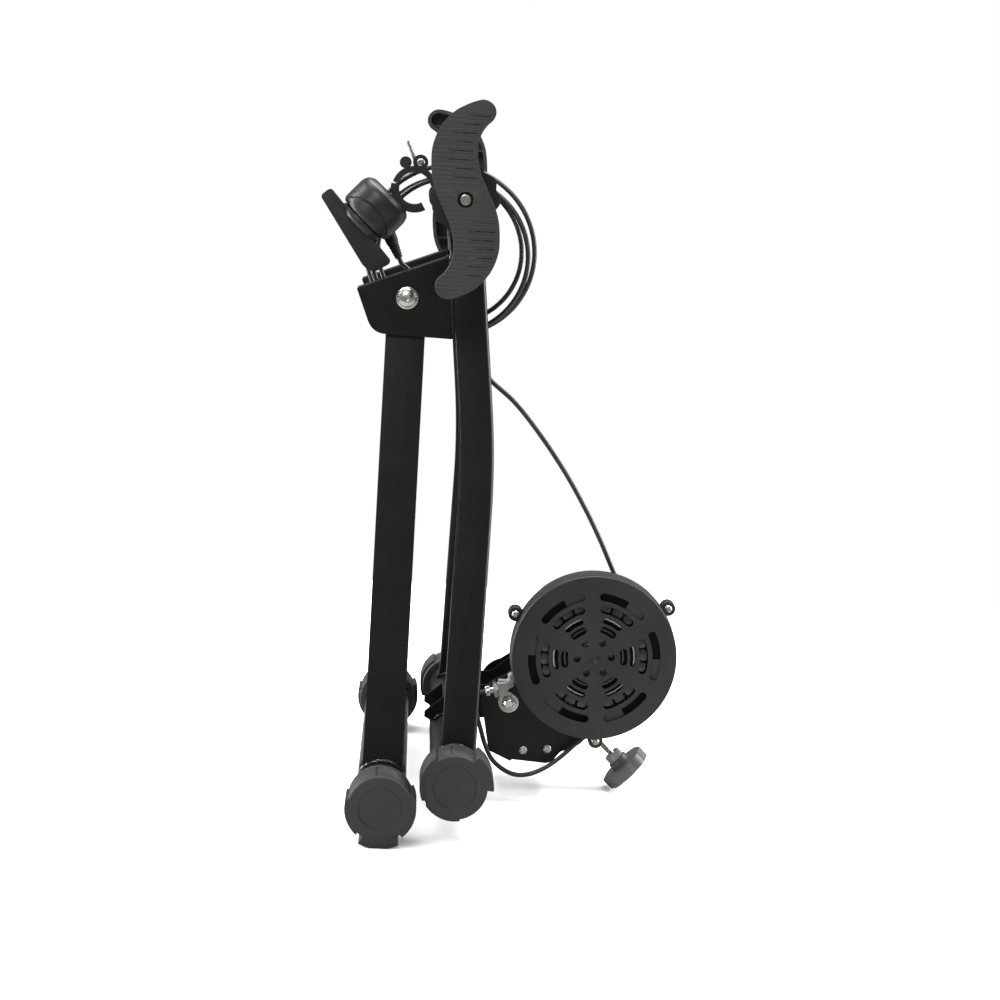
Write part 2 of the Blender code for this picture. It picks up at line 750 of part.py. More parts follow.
def unit_pivot_bolt():
    face = UNIT_PLATE_OUTER + GAP
    bolt = rod("unit_pivot_bolt", (PIVOT[0], -52, PIVOT[1]), (PIVOT[0], face + 2, PIVOT[1]),
               PIVOT_BOLT_RADIUS, 20)
    fuse(bolt, plate("pivot_bolt_head", [hexagon(13.0)], (PIVOT[0], face, PIVOT[1]), (0, 1, 0), 5.5))
    return bright_steel(bolt)


def unit_pivot_nut():
    face = UNIT_PLATE_OUTER + GAP
    bore = PIVOT_BOLT_RADIUS + GAP
    flange = ((8.8, face), (8.8, face + 1.2), (7.0, face + 2.4), (bore, face + 2.4), (bore, face))
    nut = turned("unit_pivot_nut", flange, (PIVOT[0], 0, PIVOT[1]), (0, -1, 0), ring=True, steps=16)
    fuse(nut, plate("pivot_nut_hex", [hexagon(12.0), circle(bore, 16)],
                    (PIVOT[0], -face - 1.5, PIVOT[1]), (0, -1, 0), 6.5, 10))
    return bright_steel(nut)


# Resistance unit

def unit_plate_outline():
    """Side plate: round about the pivot, toothed foot, wedge, and round about the roller."""
    return [*arc(PIVOT, 23.0, 105, 200, 6), (89.3, 38.5), (106.0, 31.0), (108.2, 30.0),
            (109.6, 31.5), (138.8, 29.4), (144.0, 31.1), (150.5, 39.7), (167.2, 46.6), (178.0, 62.0),
            *arc(ROLLER, 19.5, -12, 105, 7)]


def unit_frame():
    """Two side plates joined by a foot web and by the crossplate that the tension screw pulls."""
    inner = UNIT_PLATE_OUTER - UNIT_PLATE_WALL
    plates = [prism(f"unit_plate_{name}", [unit_plate_outline()], side * inner,
                    side * UNIT_PLATE_OUTER) for name, side in SIDES]
    foot = prism("unit_frame", [[(111.0, 31.3), (138.5, 29.4), (138.7, 32.4), (111.2, 34.3)]],
                 -inner - 1, inner + 1)
    axis = Vector(TENSION_AXIS)
    middle = Vector((TRUNNION[0], 0, TRUNNION[1])) + axis * CROSSPLATE_AT
    height = 11.0
    width = inner + 1
    slab = [(-width, -height), (width, -height), (width, height), (-width, height)]
    crossplate = plate("unit_crossplate", [slab], middle - axis * 1.5, axis, 3.0)
    fuse(foot, *plates, crossplate)
    for name, side in SIDES:
        fuse(foot, cross_rod(f"bearing_boss_{name}", ROLLER, side * BEARING_BOSS[0],
                             side * BEARING_BOSS[1], BEARING_BOSS_RADIUS, 20))
    cut(foot, cross_rod("unit_bearing_bore", ROLLER, -60, 60, BEARING_RADIUS + GAP, 24),
        cross_rod("unit_pivot_hole", PIVOT, -60, 60, PIVOT_BOLT_RADIUS + GAP, 12),
        rod("unit_screw_hole", middle - axis * 6, middle + axis * 6, TENSION_RADIUS + 1.6, 12))
    return black_paint(foot)


def bearing(name, side):
    inner = SHAFT_RADIUS + GAP
    start = BEARING_BOSS[0] + 0.6
    end = start + BEARING_WIDTH
    profile = ((BEARING_RADIUS, start), (BEARING_RADIUS, end), (inner, end), (inner, start))
    return bright_steel(turned(name, profile, (ROLLER[0], 0, ROLLER[1]), (0, side, 0), ring=True,
                               steps=24))


def roller():
    half = ROLLER_HALF_LENGTH
    bore = SHAFT_RADIUS + GAP
    profile = ((ROLLER_RADIUS - 1, -half), (ROLLER_RADIUS, -half + 1), (ROLLER_RADIUS, half - 1),
               (ROLLER_RADIUS - 1, half), (bore, half), (bore, -half))
    return dull_metal(turned("roller", profile, (ROLLER[0], 0, ROLLER[1]), (0, 1, 0), ring=True,
                             steps=28))


def roller_shaft():
    return dull_metal(cross_rod("roller_shaft", ROLLER, -79, FLYWHEEL[1] + 9, SHAFT_RADIUS, 24))


def rotor_disc():
    """Thin metal disc that turns between the magnets, on a short hub."""
    bore = SHAFT_RADIUS + GAP
    thin, thick = ROTOR
    radius = HOUSING_RADIUS - ROTOR_INSET
    profile = ((radius, thin), (radius, thick), (11, thick), (11, thick + 3),
               (bore, thick + 3), (bore, thin - 4), (11, thin - 4), (11, thin))
    return dull_metal(turned("rotor_disc", profile, (ROLLER[0], 0, ROLLER[1]), (0, -1, 0), ring=True,
                             steps=32))


def flywheel():
    """Heavy rim, thinner web and a hub."""
    near, far = FLYWHEEL
    rim = FLYWHEEL_RADIUS
    bore = SHAFT_RADIUS + GAP
    profile = ((bore, near), (rim, near), (rim, far - 1), (rim - 1, far), (rim - 11, far),
               (rim - 12, far - 5), (14, far - 5), (14, far), (bore, far))
    return dull_metal(turned("flywheel", profile, (ROLLER[0], 0, ROLLER[1]), (0, 1, 0), ring=True,
                             steps=32))


def flywheel_nut():
    loops = [hexagon(18.0), circle(SHAFT_RADIUS + GAP)]
    start = (ROLLER[0], FLYWHEEL[1] + GAP, ROLLER[1])
    return bright_steel(plate("flywheel_nut", loops, start, (0, 1, 0), 6.5))


def lobe_places():
    """Centres of the three screw lobes round the housing."""
    for number in range(3):
        angle = math.radians(30 + 120 * number + UNIT_TILT)
        reach = HOUSING_RADIUS + LOBE_RISE
        yield number + 1, (ROLLER[0] + reach * math.cos(angle), ROLLER[1] + reach * math.sin(angle))


def housing_back():
    """Back shell: shallow pan with a hub that seats on the side plate, and three screw lobes."""
    radius = HOUSING_RADIUS
    wall = HOUSING_WALL
    bore = SHAFT_RADIUS + 3.0
    joint = HOUSING_JOINT - GAP / 2
    seat = BEARING_BOSS[1] + GAP
    profile = ((radius, HOUSING_BACK + 2), (radius, joint), (radius - wall, joint),
               (radius - wall, HOUSING_BACK + wall), (bore, HOUSING_BACK + wall), (bore, seat),
               (HUB_RADIUS, seat), (HUB_RADIUS, HOUSING_BACK), (radius - 3, HOUSING_BACK))
    shell = turned("housing_back", profile, (ROLLER[0], 0, ROLLER[1]), (0, -1, 0), ring=True,
                   steps=HOUSING_STEPS)
    for number, place in lobe_places():
        fuse(shell, cross_rod(f"back_lobe_{number}", place, -HOUSING_BACK - 1, LOBE_STEP - joint,
                              LOBE_RADIUS, 20))
    for number, place in lobe_places():
        cut(shell, cross_rod(f"back_screw_hole_{number}", place, -joint + 7, -joint - 5, 2.1, 12))
    return black_plastic(shell)


def slot(radius, half_angle, width, middle, steps):
    """Curved slot with round ends, about the roller's axis."""
    x, z = ROLLER
    half = width / 2
    outer = arc(ROLLER, radius + half, middle - half_angle, middle + half_angle, steps)
    inner = arc(ROLLER, radius - half, middle + half_angle, middle - half_angle, steps)
    ends = []
    for angle, turn in ((middle + half_angle, 1), (middle - half_angle, -1)):
        centre = (x + radius * math.cos(math.radians(angle)), z + radius * math.sin(math.radians(angle)))
        first = angle if turn > 0 else angle + 180
        ends.append(arc(centre, half, first, first + 180, 3)[1:-1])
    return outer + ends[0] + inner + ends[1]


VENT_FACE_RADIUS = 70.0
VENT_HOLE_CIRCLE = 17.0
VENT_ROWS = ((29.0, 9.5, 6.4, 2), (39.6, 12.5, 5.0, 2), (51.0, 16.5, 7.0, 3), (62.2, 19.0, 6.4, 4))


def vent_loops():
    """Six sectors of curved slots, spread to the cover's radius, with a round hole at the point of each."""
    spread = HOUSING_RADIUS / VENT_FACE_RADIUS
    loops = []
    for sector in range(6):
        middle = 60 * sector + UNIT_TILT
        hole = arc(ROLLER, VENT_HOLE_CIRCLE * spread, middle, middle, 1)[0]
        loops.append(circle(3.3, 8, hole))
        for radius, half_angle, width, steps in VENT_ROWS:
            loops.append(slot(radius * spread, half_angle, width, middle, steps))
    return loops


def housing_cover():
    """Vented front shell with a rounded rim and a centre dimple."""
    front = HOUSING_FRONT
    radius = HOUSING_RADIUS
    back = front - HOUSING_WALL
    joint = HOUSING_JOINT + GAP / 2
    profile = ((0, front - 0.9), (4.5, front - 0.9), (6.5, front), (radius - 6.5, front),
               (radius - 2.4, front - 1.5), (radius, front - 5), (radius, joint),
               (radius - HOUSING_WALL, joint), (radius - HOUSING_WALL, back - 2), (radius - 4, back),
               (0, back))
    cover = turned("housing_cover", profile, (ROLLER[0], 0, ROLLER[1]), (0, -1, 0), steps=HOUSING_STEPS)
    for number, place in lobe_places():
        fuse(cover, cross_rod(f"cover_lobe_{number}", place, -joint - LOBE_STEP, -LOBE_FACE,
                              LOBE_RADIUS, 20))
    for number, place in lobe_places():
        cut(cover, cross_rod(f"cover_screw_hole_{number}", place, -joint + 5, -LOBE_FACE - 5, 2.1, 12))
    cut(cover, prism("cover_vents", vent_loops(), 1 - back, -front - 5))
    return black_plastic(cover)


def cover_screw(name, place):
    face = LOBE_FACE + GAP
    profile = ((0, HOUSING_JOINT - 6), (1.8, HOUSING_JOINT - 6), (1.8, face), (3.6, face),
               (3.6, face + 1.0), (2.4, face + 2.2), (0, face + 2.6))
    return bright_steel(turned(name, profile, (place[0], 0, place[1]), (0, -1, 0), steps=16))


def magnet_carrier():
    """Ring that holds the magnets and turns a little behind the vents."""
    inner, outer = CARRIER
    rim = HOUSING_RADIUS - HOUSING_WALL - CARRIER_RIM_GAP
    profile = ((rim, inner), (rim, outer), (CARRIER_BORE, outer), (CARRIER_BORE, inner))
    carrier = turned("magnet_carrier", profile, (ROLLER[0], 0, ROLLER[1]), (0, -1, 0), ring=True,
                     steps=32)
    pockets = []
    for number in range(MAGNET_COUNT):
        angle = math.radians(360 * number / MAGNET_COUNT + UNIT_TILT)
        reach = HOUSING_RADIUS - MAGNET_INSET
        centre = (ROLLER[0] + reach * math.cos(angle), ROLLER[1] + reach * math.sin(angle))
        pockets.append(circle(MAGNET_RADIUS, 10, centre))
    cut(carrier, prism("magnet_pockets", pockets, -outer + 1.0, -outer - 2))
    return dull_metal(carrier)


# Tension screw

def along_tension(distance):
    return Vector((TRUNNION[0], 0, TRUNNION[1])) + Vector(TENSION_AXIS).normalized() * distance


def tension_trunnion():
    """Swivelling barrel between the saddle's ears, cross-bored for the screw."""
    half = SADDLE_OUTER - SADDLE_WALL - GAP
    pin = TRUNNION_PIN_RADIUS
    profile = ((0, -half - 4), (pin, -half - 4), (pin, -half), (TRUNNION_RADIUS, -half),
               (TRUNNION_RADIUS, half), (pin, half), (pin, half + 4), (0, half + 4))
    barrel = turned("tension_trunnion", profile, (TRUNNION[0], 0, TRUNNION[1]), (0, 1, 0), steps=16)
    cut(barrel, rod("trunnion_bore", along_tension(-20), along_tension(20), TENSION_RADIUS + GAP, 12))
    return dull_metal(barrel)


def tension_screw():
    """Long screw held in the trunnion by its head and a collar."""
    seat = TRUNNION_RADIUS + GAP
    end = KNOB_FACE + 5
    profile = ((0, -seat - 4), (5.5, -seat - 4), (5.5, -seat), (TENSION_RADIUS, -seat),
               (TENSION_RADIUS, seat), (5.5, seat), (5.5, seat + 2.5), (TENSION_RADIUS, seat + 2.5),
               (TENSION_RADIUS, end), (0, end))
    return bright_steel(turned("tension_screw", profile, along_tension(0), TENSION_AXIS, steps=20))


def tension_lock_nut():
    loops = [hexagon(13.0), circle(TENSION_RADIUS + GAP, 20)]
    start = along_tension(KNOB_START - GAP - 7)
    return bright_steel(plate("tension_lock_nut", loops, start, TENSION_AXIS, 7, 12))


def tension_knob():
    """Lobed hand knob with a hub towards the lock nut."""
    loops = [lobed_outline(KNOB_RADIUS, 1.8, KNOB_LOBES)]
    knob = plate("tension_knob", loops, along_tension(KNOB_FACE), TENSION_AXIS, KNOB_THICKNESS, 90)
    round_edges(knob, 0.9, 1)
    fuse(knob, rod("knob_hub", along_tension(KNOB_START), along_tension(KNOB_FACE + 2), 9.0, 24))
    cut(knob, rod("knob_bore", along_tension(KNOB_START - 5), along_tension(KNOB_FACE + 5 + GAP),
                  TENSION_RADIUS + GAP, 20))
    return black_plastic(knob)


# Cable adjuster on the unit

ADJUSTER_Y = -52.0
ADJUSTER_START = Vector((84.0, ADJUSTER_Y, 91.6))
ADJUSTER_AXIS = Vector((0.98, 0.0, 0.199))


def along_adjuster(distance):
    return ADJUSTER_START + ADJUSTER_AXIS.normalized() * distance


def cable_adjuster():
    """Hollow threaded barrel with a knurled end, screwed through the lug."""
    profile = ((1.2, 0), (3.9, 0), (3.9, 3.6), (2.8, 3.6), (2.8, 17.5), (1.2, 17.5))
    return bright_steel(turned("cable_adjuster", profile, ADJUSTER_START, ADJUSTER_AXIS, ring=True,
                               steps=16))


def adjuster_nut():
    loops = [hexagon(8.0), circle(2.8 + GAP, 16)]
    return bright_steel(plate("adjuster_nut", loops, along_adjuster(6.8), ADJUSTER_AXIS, 3.4, 8))


def cable_lug():
    """Moulded lug on the side plate that holds the adjuster, with a ribbed nose to the housing."""
    start = along_adjuster(10.6)
    end = along_adjuster(19.0)
    size = 5.4
    square = [(-size, -size), (size, -size), (size, size), (-size, size)]
    lug = plate("cable_lug", [square], start, ADJUSTER_AXIS, (end - start).length)
    foot_depth = UNIT_PLATE_OUTER + GAP
    x, z = start.x + 4.2, start.z + 2.4
    foot = [(x - 4, z - 3), (x + 4, z - 3), (x + 4, z + 5), (x - 4, z + 5)]
    fuse(lug, prism("cable_lug_foot", [foot], -foot_depth, ADJUSTER_Y + 2))
    nose = Vector((0.17, 0.0, 0.985))
    base = Vector((104.0, ADJUSTER_Y, 97.0))
    ribs = []
    for number in range(3):
        ribs += [(3.6, number * 4.0), (3.6, number * 4.0 + 2.2), (2.7, number * 4.0 + 2.6),
                 (2.7, number * 4.0 + 3.6)]
    profile = [(0, 0), *ribs, (0, 12.0)]
    fuse(lug, turned("cable_lug_nose", profile, base, nose, steps=8),
         rod("cable_lug_neck", along_adjuster(15), base + nose * 1.5, 3.0, 12))
    cut(lug, rod("cable_lug_bore", along_adjuster(5), along_adjuster(17.5 + GAP), 2.8 + GAP, 16))
    return grey_plastic(lug)


# Remote lever

def shifter_point(along, down=0.0, across=0.0):
    """A place on the remote lever: along its axis, down the lever, and across."""
    axis = Vector(SHIFTER_AXIS).normalized()
    lever = Vector((axis.z, 0.0, -axis.x))
    return Vector(SHIFTER_FACE) + axis * along + lever * down + Vector((0, across, 0))


def ring_sector(centre, inner, outer, start, end, steps):
    return arc(centre, outer, start, end, steps) + arc(centre, inner, end, start, steps)


def shifter_body():
    """Round housing with a saddle for the handlebar and a socket for the cable's boot."""
    y = SHIFTER_FACE[1]
    radius = SHIFTER_RADIUS
    length = SHIFTER_LENGTH
    profile = ((0, 0), (radius - 5, 0), (radius - 1.5, 1.2), (radius, 3.5), (radius, length * 0.75),
               (radius - 2, length * 0.9), (radius - 7, length), (0, length))
    body = turned("shifter_body", profile, shifter_point(0), SHIFTER_AXIS, steps=28)
    half = BAND_WIDTH / 2
    saddle = ring_sector(BAND_CENTRE, BAND_BORE, BAND_RADIUS + 1, 168, 300, 10)
    fuse(body, prism("shifter_saddle", [saddle], y - half, y + half))
    cut(body, cross_rod("shifter_bar_bore", BAND_CENTRE, y - 40, y + 40, BAND_BORE, 32))
    return black_plastic(body)


def clamp_band():
    """Hinged half of the handlebar clamp, with the two ears of its screw."""
    y = SHIFTER_FACE[1]
    half = BAND_WIDTH / 2
    arch = ring_sector(BAND_CENTRE, BAND_BORE + 1, BAND_RADIUS - 1, 12, 164, 14)
    band = prism("shifter_band", [arch], y - half, y + half)
    fuse(band, cross_rod("band_ear_left", (-4.6, 532.3), y - half, y + half, 5.4, 16),
         cross_rod("band_ear_right", (7.8, 532.6), y - half, y + half, 5.4, 16))
    cut(band, rod("band_screw_hole", band_screw_point(-3), band_screw_point(30), 1.9, 12))
    return black_plastic(band)


def band_screw_point(distance):
    """Places on the band's screw, from its tip down through the ears."""
    return Vector((-3.8, SHIFTER_FACE[1], 549.8)) + Vector((0.42, 0.0, -0.907)) * distance


def band_screw():
    return bright_steel(rod("band_screw", band_screw_point(0), band_screw_point(24), 1.6, 12))


def shifter_lever():
    """Long wedge of a thumb lever on a round base that lies over the housing's face."""
    base = turned("shifter_lever", ((0, 0.3), (21, 0.3), (21, 4.0), (19.5, 6.5), (0, 6.5)),
                  shifter_point(0), -Vector(SHIFTER_AXIS), steps=32)
    corners = []
    for along, down, radius in LEVER_SECTION:
        place = shifter_point(along, down)
        corners.append((place.x, place.z, radius))
    half = LEVER_WIDTH / 2
    y = SHIFTER_FACE[1]
    bar = prism("lever_bar", [rounded(corners, 3)], y - half, y + half)
    round_edges(bar, 2.0, 1)
    fuse(base, bar)
    return black_plastic(base)


BOOT_START = Vector((-15.9, -64.0, 473.8))
BOOT_AXIS = Vector((0.43, 0.09, -0.9)).normalized()
BOOT_LENGTH = 22.0


def cable_boot():
    """Tapered rubber boot where the cable leaves the remote lever."""
    profile = ((0, 7.5), (4.6, 7.5), (4.6, 10), (3.4, BOOT_LENGTH - 1), (3.0, BOOT_LENGTH),
               (0, BOOT_LENGTH))
    return black_plastic(turned("cable_boot", profile, BOOT_START, BOOT_AXIS, steps=16))


# Cable

def coil_point(turns):
    """A point on the coil, which spirals out on one layer and back in on the next."""
    half_way = COIL_TURNS / 2
    share = min(turns, COIL_TURNS - turns) / half_way
    radius = COIL_INNER + (COIL_OUTER - COIL_INNER) * share
    angle = math.radians(-90 + 360 * turns)
    climb = min(max((turns - half_way) / 0.5 + 0.5, 0), 1)
    x = COIL_CENTRE[0] + radius * math.cos(angle)
    z = COIL_CENTRE[1] + radius * math.sin(angle)
    y = COIL_HANG_Y - (x - CLAMP[0]) * COIL_SLANT + COIL_LAYER_STEP * (0.5 - climb)
    return Vector((x, y, z))


def coil_points():
    count = round(COIL_TURNS * COIL_STEPS_PER_TURN)
    turns = [coil_point(COIL_TURNS * index / count) for index in range(count + 1)]
    reach = 2 * CABLE_RADIUS
    start = turns[0] + (turns[0] - turns[1]).normalized() * reach
    end = turns[-1] + (turns[-1] - turns[-2]).normalized() * reach
    return [start, *turns, end]


def least_gap(points, radius, apart):
    """Least clear distance between stretches of a cord that lie at least so many points apart."""
    least = math.inf
    for index, point in enumerate(points):
        for other in points[index + apart:]:
            least = min(least, (point - other).length - 2 * radius)
    return least


def cord_route(start, start_axis, route, end, end_axis, spacing):
    """Evenly spaced points on a smooth route, with a short straight stretch at both ends."""
    stub = 2 * CABLE_RADIUS
    fine = 12
    smooth = spline_through([start, start + start_axis * stub, *route, end - end_axis * stub, end], fine)
    return [start, *evenly_spaced(smooth[fine:-fine], spacing), end]


LEAD_ROUTE = ((3.5, -57.0, 443.5), (11.5, -54.0, 435.0), (16.5, -51.5, 423.0), (20.5, -49.5, 410.5))


def lead_points():
    """From the boot to the coil's first loop, kept clear of the hinge nut."""
    start = BOOT_START + BOOT_AXIS * (BOOT_LENGTH + GAP)
    coil = coil_points()
    inward = (coil[0] - coil[1]).normalized()
    end = coil[0] + inward * GAP
    return cord_route(start, BOOT_AXIS, LEAD_ROUTE, end, -inward, LEAD_STEP)


RUN_ROUTE = ((46.5, -70.5, 402.6), (52.5, -74.8, 398.0), (57.5, -77.5, 391.0), (62.0, -78.0, 381.0),
             (66.5, -76.5, 370.0), (73.5, -73.0, 358.0), (95.4, -68.0, 339.3), (117.7, -63.0, 313.5),
             (140.3, -58.0, 282.7), (158.7, -54.0, 253.2), (173.5, -51.0, 226.0), (186.5, -49.5, 199.0),
             (200.0, -49.3, 172.0), (210.0, -49.3, 146.0), (211.0, -49.3, 118.0), (203.0, -49.3, 92.0),
             (187.0, -49.5, 70.0), (165.0, -51.5, 51.5), (149.9, -54.0, 37.6), (137.6, -55.5, 28.6),
             (124.8, -56.0, 22.8), (113.0, -56.0, 21.6), (102.0, -55.5, 25.6), (92.0, -54.5, 34.0),
             (85.5, -53.5, 46.5), (80.5, -52.5, 62.0), (76.0, -52.0, 77.0), (76.6, -52.0, 86.5))


def run_points():
    """From the coil's last loop, behind the brake housing, round below it and up to the adjuster."""
    coil = coil_points()
    outward = (coil[-1] - coil[-2]).normalized()
    start = coil[-1] + outward * GAP
    axis = ADJUSTER_AXIS.normalized()
    return cord_route(start, outward, RUN_ROUTE, along_adjuster(-GAP), axis, CABLE_STEP)


def black_rubber(piece):
    return finish(piece, (0.018, 0.018, 0.019), 0.5, 0.0)


def cable():
    coil = coil_points()
    lead = lead_points()
    run = run_points()
    black_rubber(tube("cable_coil", coil, CABLE_RADIUS, 1))
    black_rubber(tube("cable_lead", lead, CABLE_RADIUS, 2))
    black_rubber(tube("cable_run", run, CABLE_RADIUS, 2))
    total = 0.0
    for stretch in (lead, coil, run):
        total += sum((after - before).length for before, after in zip(stretch, stretch[1:]))
    print("coil least gap mm", round(least_gap(coil, CABLE_RADIUS, 8), 2))
    print("cable length mm", round(total))


# Joints

FRONT_FRAME_JOINT = empty_at("front_frame_joint", (HINGE[0], 0, HINGE[1]), TRAINER)
FRONT_CAP_JOINT = empty_at("front_cap_joint", (FRONT_TUBE[0], 0, FRONT_TUBE[1]), TRAINER)
REAR_CAP_JOINT = empty_at("rear_cap_joint", (REAR_TUBE[0], 0, REAR_TUBE[1]), TRAINER)
CLAMP_JOINT = empty_at("clamp_joint", (CLAMP[0], 0, CLAMP[1]), TRAINER)
UNIT_JOINT = empty_at("unit_joint", (PIVOT[0], 0, PIVOT[1]), TRAINER)
ROLLER_JOINT = empty_at("roller_joint", (ROLLER[0], 0, ROLLER[1]), TRAINER)
TRUNNION_JOINT = empty_at("trunnion_joint", (TRUNNION[0], 0, TRUNNION[1]), TRAINER)
LEVER_JOINT = empty_at("lever_joint", SHIFTER_FACE, TRAINER)


def frame_pieces():
    floor_tube("rear_floor_tube", REAR_TUBE, REAR_TUBE_RADIUS, REAR_CAP_FACE)
    front = [floor_tube("front_floor_tube", FRONT_TUBE, FRONT_TUBE_RADIUS, FRONT_CAP_FACE)]
    for name, side in SIDES:
        front.append(front_leg(name + "_front_leg", side))
        rear_leg(name + "_rear_leg", side)
        hinge_bracket(name + "_hinge_bracket", side)
        hinge_bolt(name + "_hinge_bolt", side)
        hinge_nut(name + "_hinge_nut", side)
        clamp_sleeve(name + "_clamp_sleeve", side)
    carry(FRONT_FRAME_JOINT, *front)
    foot_caps()


def clamp_pieces():
    for name, side in SIDES:
        carry(CLAMP_JOINT, spindle(name + "_spindle", side), lock_ring(name + "_lock_ring", side),
              handle(name + "_handle", side), handle_screw(name + "_handle_screw", side))


def unit_pieces():
    unit_saddle()
    unit_pivot_bolt()
    unit_pivot_nut()
    carry(UNIT_JOINT, unit_frame(), housing_back(), housing_cover(), cable_adjuster(), adjuster_nut(),
          cable_lug())
    for name, side in SIDES:
        carry(UNIT_JOINT, bearing(name + "_bearing", side))
    for number, place in lobe_places():
        carry(UNIT_JOINT, cover_screw(f"cover_screw_{number}", place))
    carry(ROLLER_JOINT, roller(), roller_shaft(), rotor_disc(), flywheel(), flywheel_nut(),
          magnet_carrier())
    carry(TRUNNION_JOINT, tension_trunnion(), tension_screw(), tension_lock_nut(), tension_knob())


def lever_pieces():
    shifter_body()
    clamp_band()
    band_screw()
    cable_boot()
    carry(LEVER_JOINT, shifter_lever())


bpy.context.view_layer.update()
frame_pieces()
clamp_pieces()
unit_pieces()
lever_pieces()
cable()
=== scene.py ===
import math

import bmesh
import bpy
from bpy.props import FloatProperty, FloatVectorProperty, IntProperty, PointerProperty
from mathutils import Matrix, Vector


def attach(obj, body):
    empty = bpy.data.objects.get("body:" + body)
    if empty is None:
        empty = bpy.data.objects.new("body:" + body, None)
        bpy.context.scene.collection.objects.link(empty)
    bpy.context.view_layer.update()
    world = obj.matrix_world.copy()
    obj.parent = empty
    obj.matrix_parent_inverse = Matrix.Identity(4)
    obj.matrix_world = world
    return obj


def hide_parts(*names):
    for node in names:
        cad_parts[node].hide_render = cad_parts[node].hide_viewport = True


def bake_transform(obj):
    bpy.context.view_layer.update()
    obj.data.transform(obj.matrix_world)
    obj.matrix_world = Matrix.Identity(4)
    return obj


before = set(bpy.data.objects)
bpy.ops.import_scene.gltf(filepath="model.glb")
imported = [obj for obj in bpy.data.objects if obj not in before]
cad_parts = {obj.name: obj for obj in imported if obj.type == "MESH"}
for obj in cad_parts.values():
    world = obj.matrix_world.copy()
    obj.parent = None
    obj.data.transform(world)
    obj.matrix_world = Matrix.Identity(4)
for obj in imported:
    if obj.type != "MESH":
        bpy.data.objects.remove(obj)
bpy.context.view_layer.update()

bl_info = {
    "name": "Folding bike trainer",
    "version": (1, 0, 0),
    "blender": (4, 5, 0),
    "location": "View3D > Sidebar > Trainer",
    "description": "Builds the visible pieces of a folding wheel-on bike trainer round its packed frame",
    "category": "Object",
}

# Sizes are in millimetres, measured from the front floor tube; pieces become metres when they are placed.
MM = 0.001
GAP = 0.3
WELD_DISTANCE = 0.001
SIDES = (("left", -1), ("right", 1))
CENTRE_X = 85.04
TO_ROW = Matrix.Scale(MM, 4) @ Matrix.Translation((-CENTRE_X, 0, 0))

FRONT_TUBE = (0.0, 31.5)
FRONT_TUBE_RADIUS = 20.0
FRONT_CAP_FACE = 240.0
REAR_TUBE = (58.0, 48.3)
REAR_TUBE_RADIUS = 19.5
REAR_CAP_FACE = 228.0
TUBE_WALL = 2.0
CAP_LENGTH = 45.0
CAP_RADIUS = 26.0
CAP_END_WALL = 4.0
CAP_SOLE = 31.5
SLIT_ANGLE = 98
FRONT_LOBES = ((-119, -61, 32.2, CAP_SOLE), (-50, 26, 28.6, None), (165, 230, 27.8, None))
REAR_LOBES = ((-3, 55, 30.8, None), (125, 205, 27.8, None), (215, 281, 27.0, None))
FRONT_LOBE_DEPTHS = (0.5, 36.0)
REAR_LOBE_DEPTHS = (0.5, 40.0)
FRONT_END = (FRONT_TUBE, FRONT_TUBE_RADIUS, FRONT_CAP_FACE)
REAR_END = (REAR_TUBE, REAR_TUBE_RADIUS, REAR_CAP_FACE)

LEG_DEPTH = 25.0
LEG_EDGE = 4.0
FRONT_LEG_WIDTH = 32.0
FRONT_LEG_FOOT_Y = 153.7
HINGE = (2.0, 423.7)
HINGE_Y = 86.0
REAR_LEG_WIDTH = 28.0
REAR_LEG_KNEE = (65.8, 296.5)
REAR_LEG_FOOT_X = 60.6
REAR_LEG_FOOT_Y = 156.6
REAR_LEG_TOP_Y = 84.8
KNEE_TANGENT = 43.0
BRACKET_WALL = 2.2
BRACKET_INNER = 35.8
BRACKET_OFFSET = 1.5
BRACKET_TIP = (-39.2, 429.4)
BRACKET_TOP = (34.6, 458.6)
BRACKET_HEEL = (41.6, 391.9)
BRACKET_TOE = (-25.1, 393.8)
BRACKET_TOE_CUT = 11.0
HINGE_BOLT_RADIUS = 4.0
HINGE_HEAD_RADIUS = 9.2
HEX_FLATS = 13.0
LEG_BEAD_RADIUS = 2.1
LEG_BEAD_STANDOFF = 0.9
LEG_BEAD_SPREAD = (1.03, 1.04)
BRACKET_BEAD_RADIUS = 1.7
SADDLE_BEAD_RADIUS = 1.5
BEAD_STEP = 1.4

CLAMP = (44.2, 506.0)
SLEEVE_RADIUS = 16.0
SLEEVE_INNER_END = 75.5
SLEEVE_OUTER_END = 120.0
SPINDLE_RADIUS = 9.0
SPINDLE_INNER_END = 53.0
SPINDLE_OUTER_END = 158.0
SPINDLE_PITCH = 3.0
CUP_RADIUS = 7.4
CUP_DEPTH = 6.0
LOCK_RING_RADIUS = 28.4
LOCK_RING_THICKNESS = 13.0
LOCK_RING_LOBES = 10
GRIP_INNER_FACE = 160.0
GRIP_THICKNESS = 18.0
GRIP_HUB_RADIUS = 17.5
GRIP_HUB_LENGTH = 20.0
GRIP_SCREW_RADIUS = 3.0
GRIP_SCREW_LENGTH = 32.0
GRIP_RECESS = (6.4, 5.0)
GRIP_ROUNDING = 2.2
GRIP_WALL = 3.2
GRIP_SKIN = 4.0
GRIP_RIB_HALF = 0.9
GRIP_RIB_STEP = 20
GRIP_RIB_REACH = 60
GRIP_TURN = {"left": 0.0, "right": 10.0}
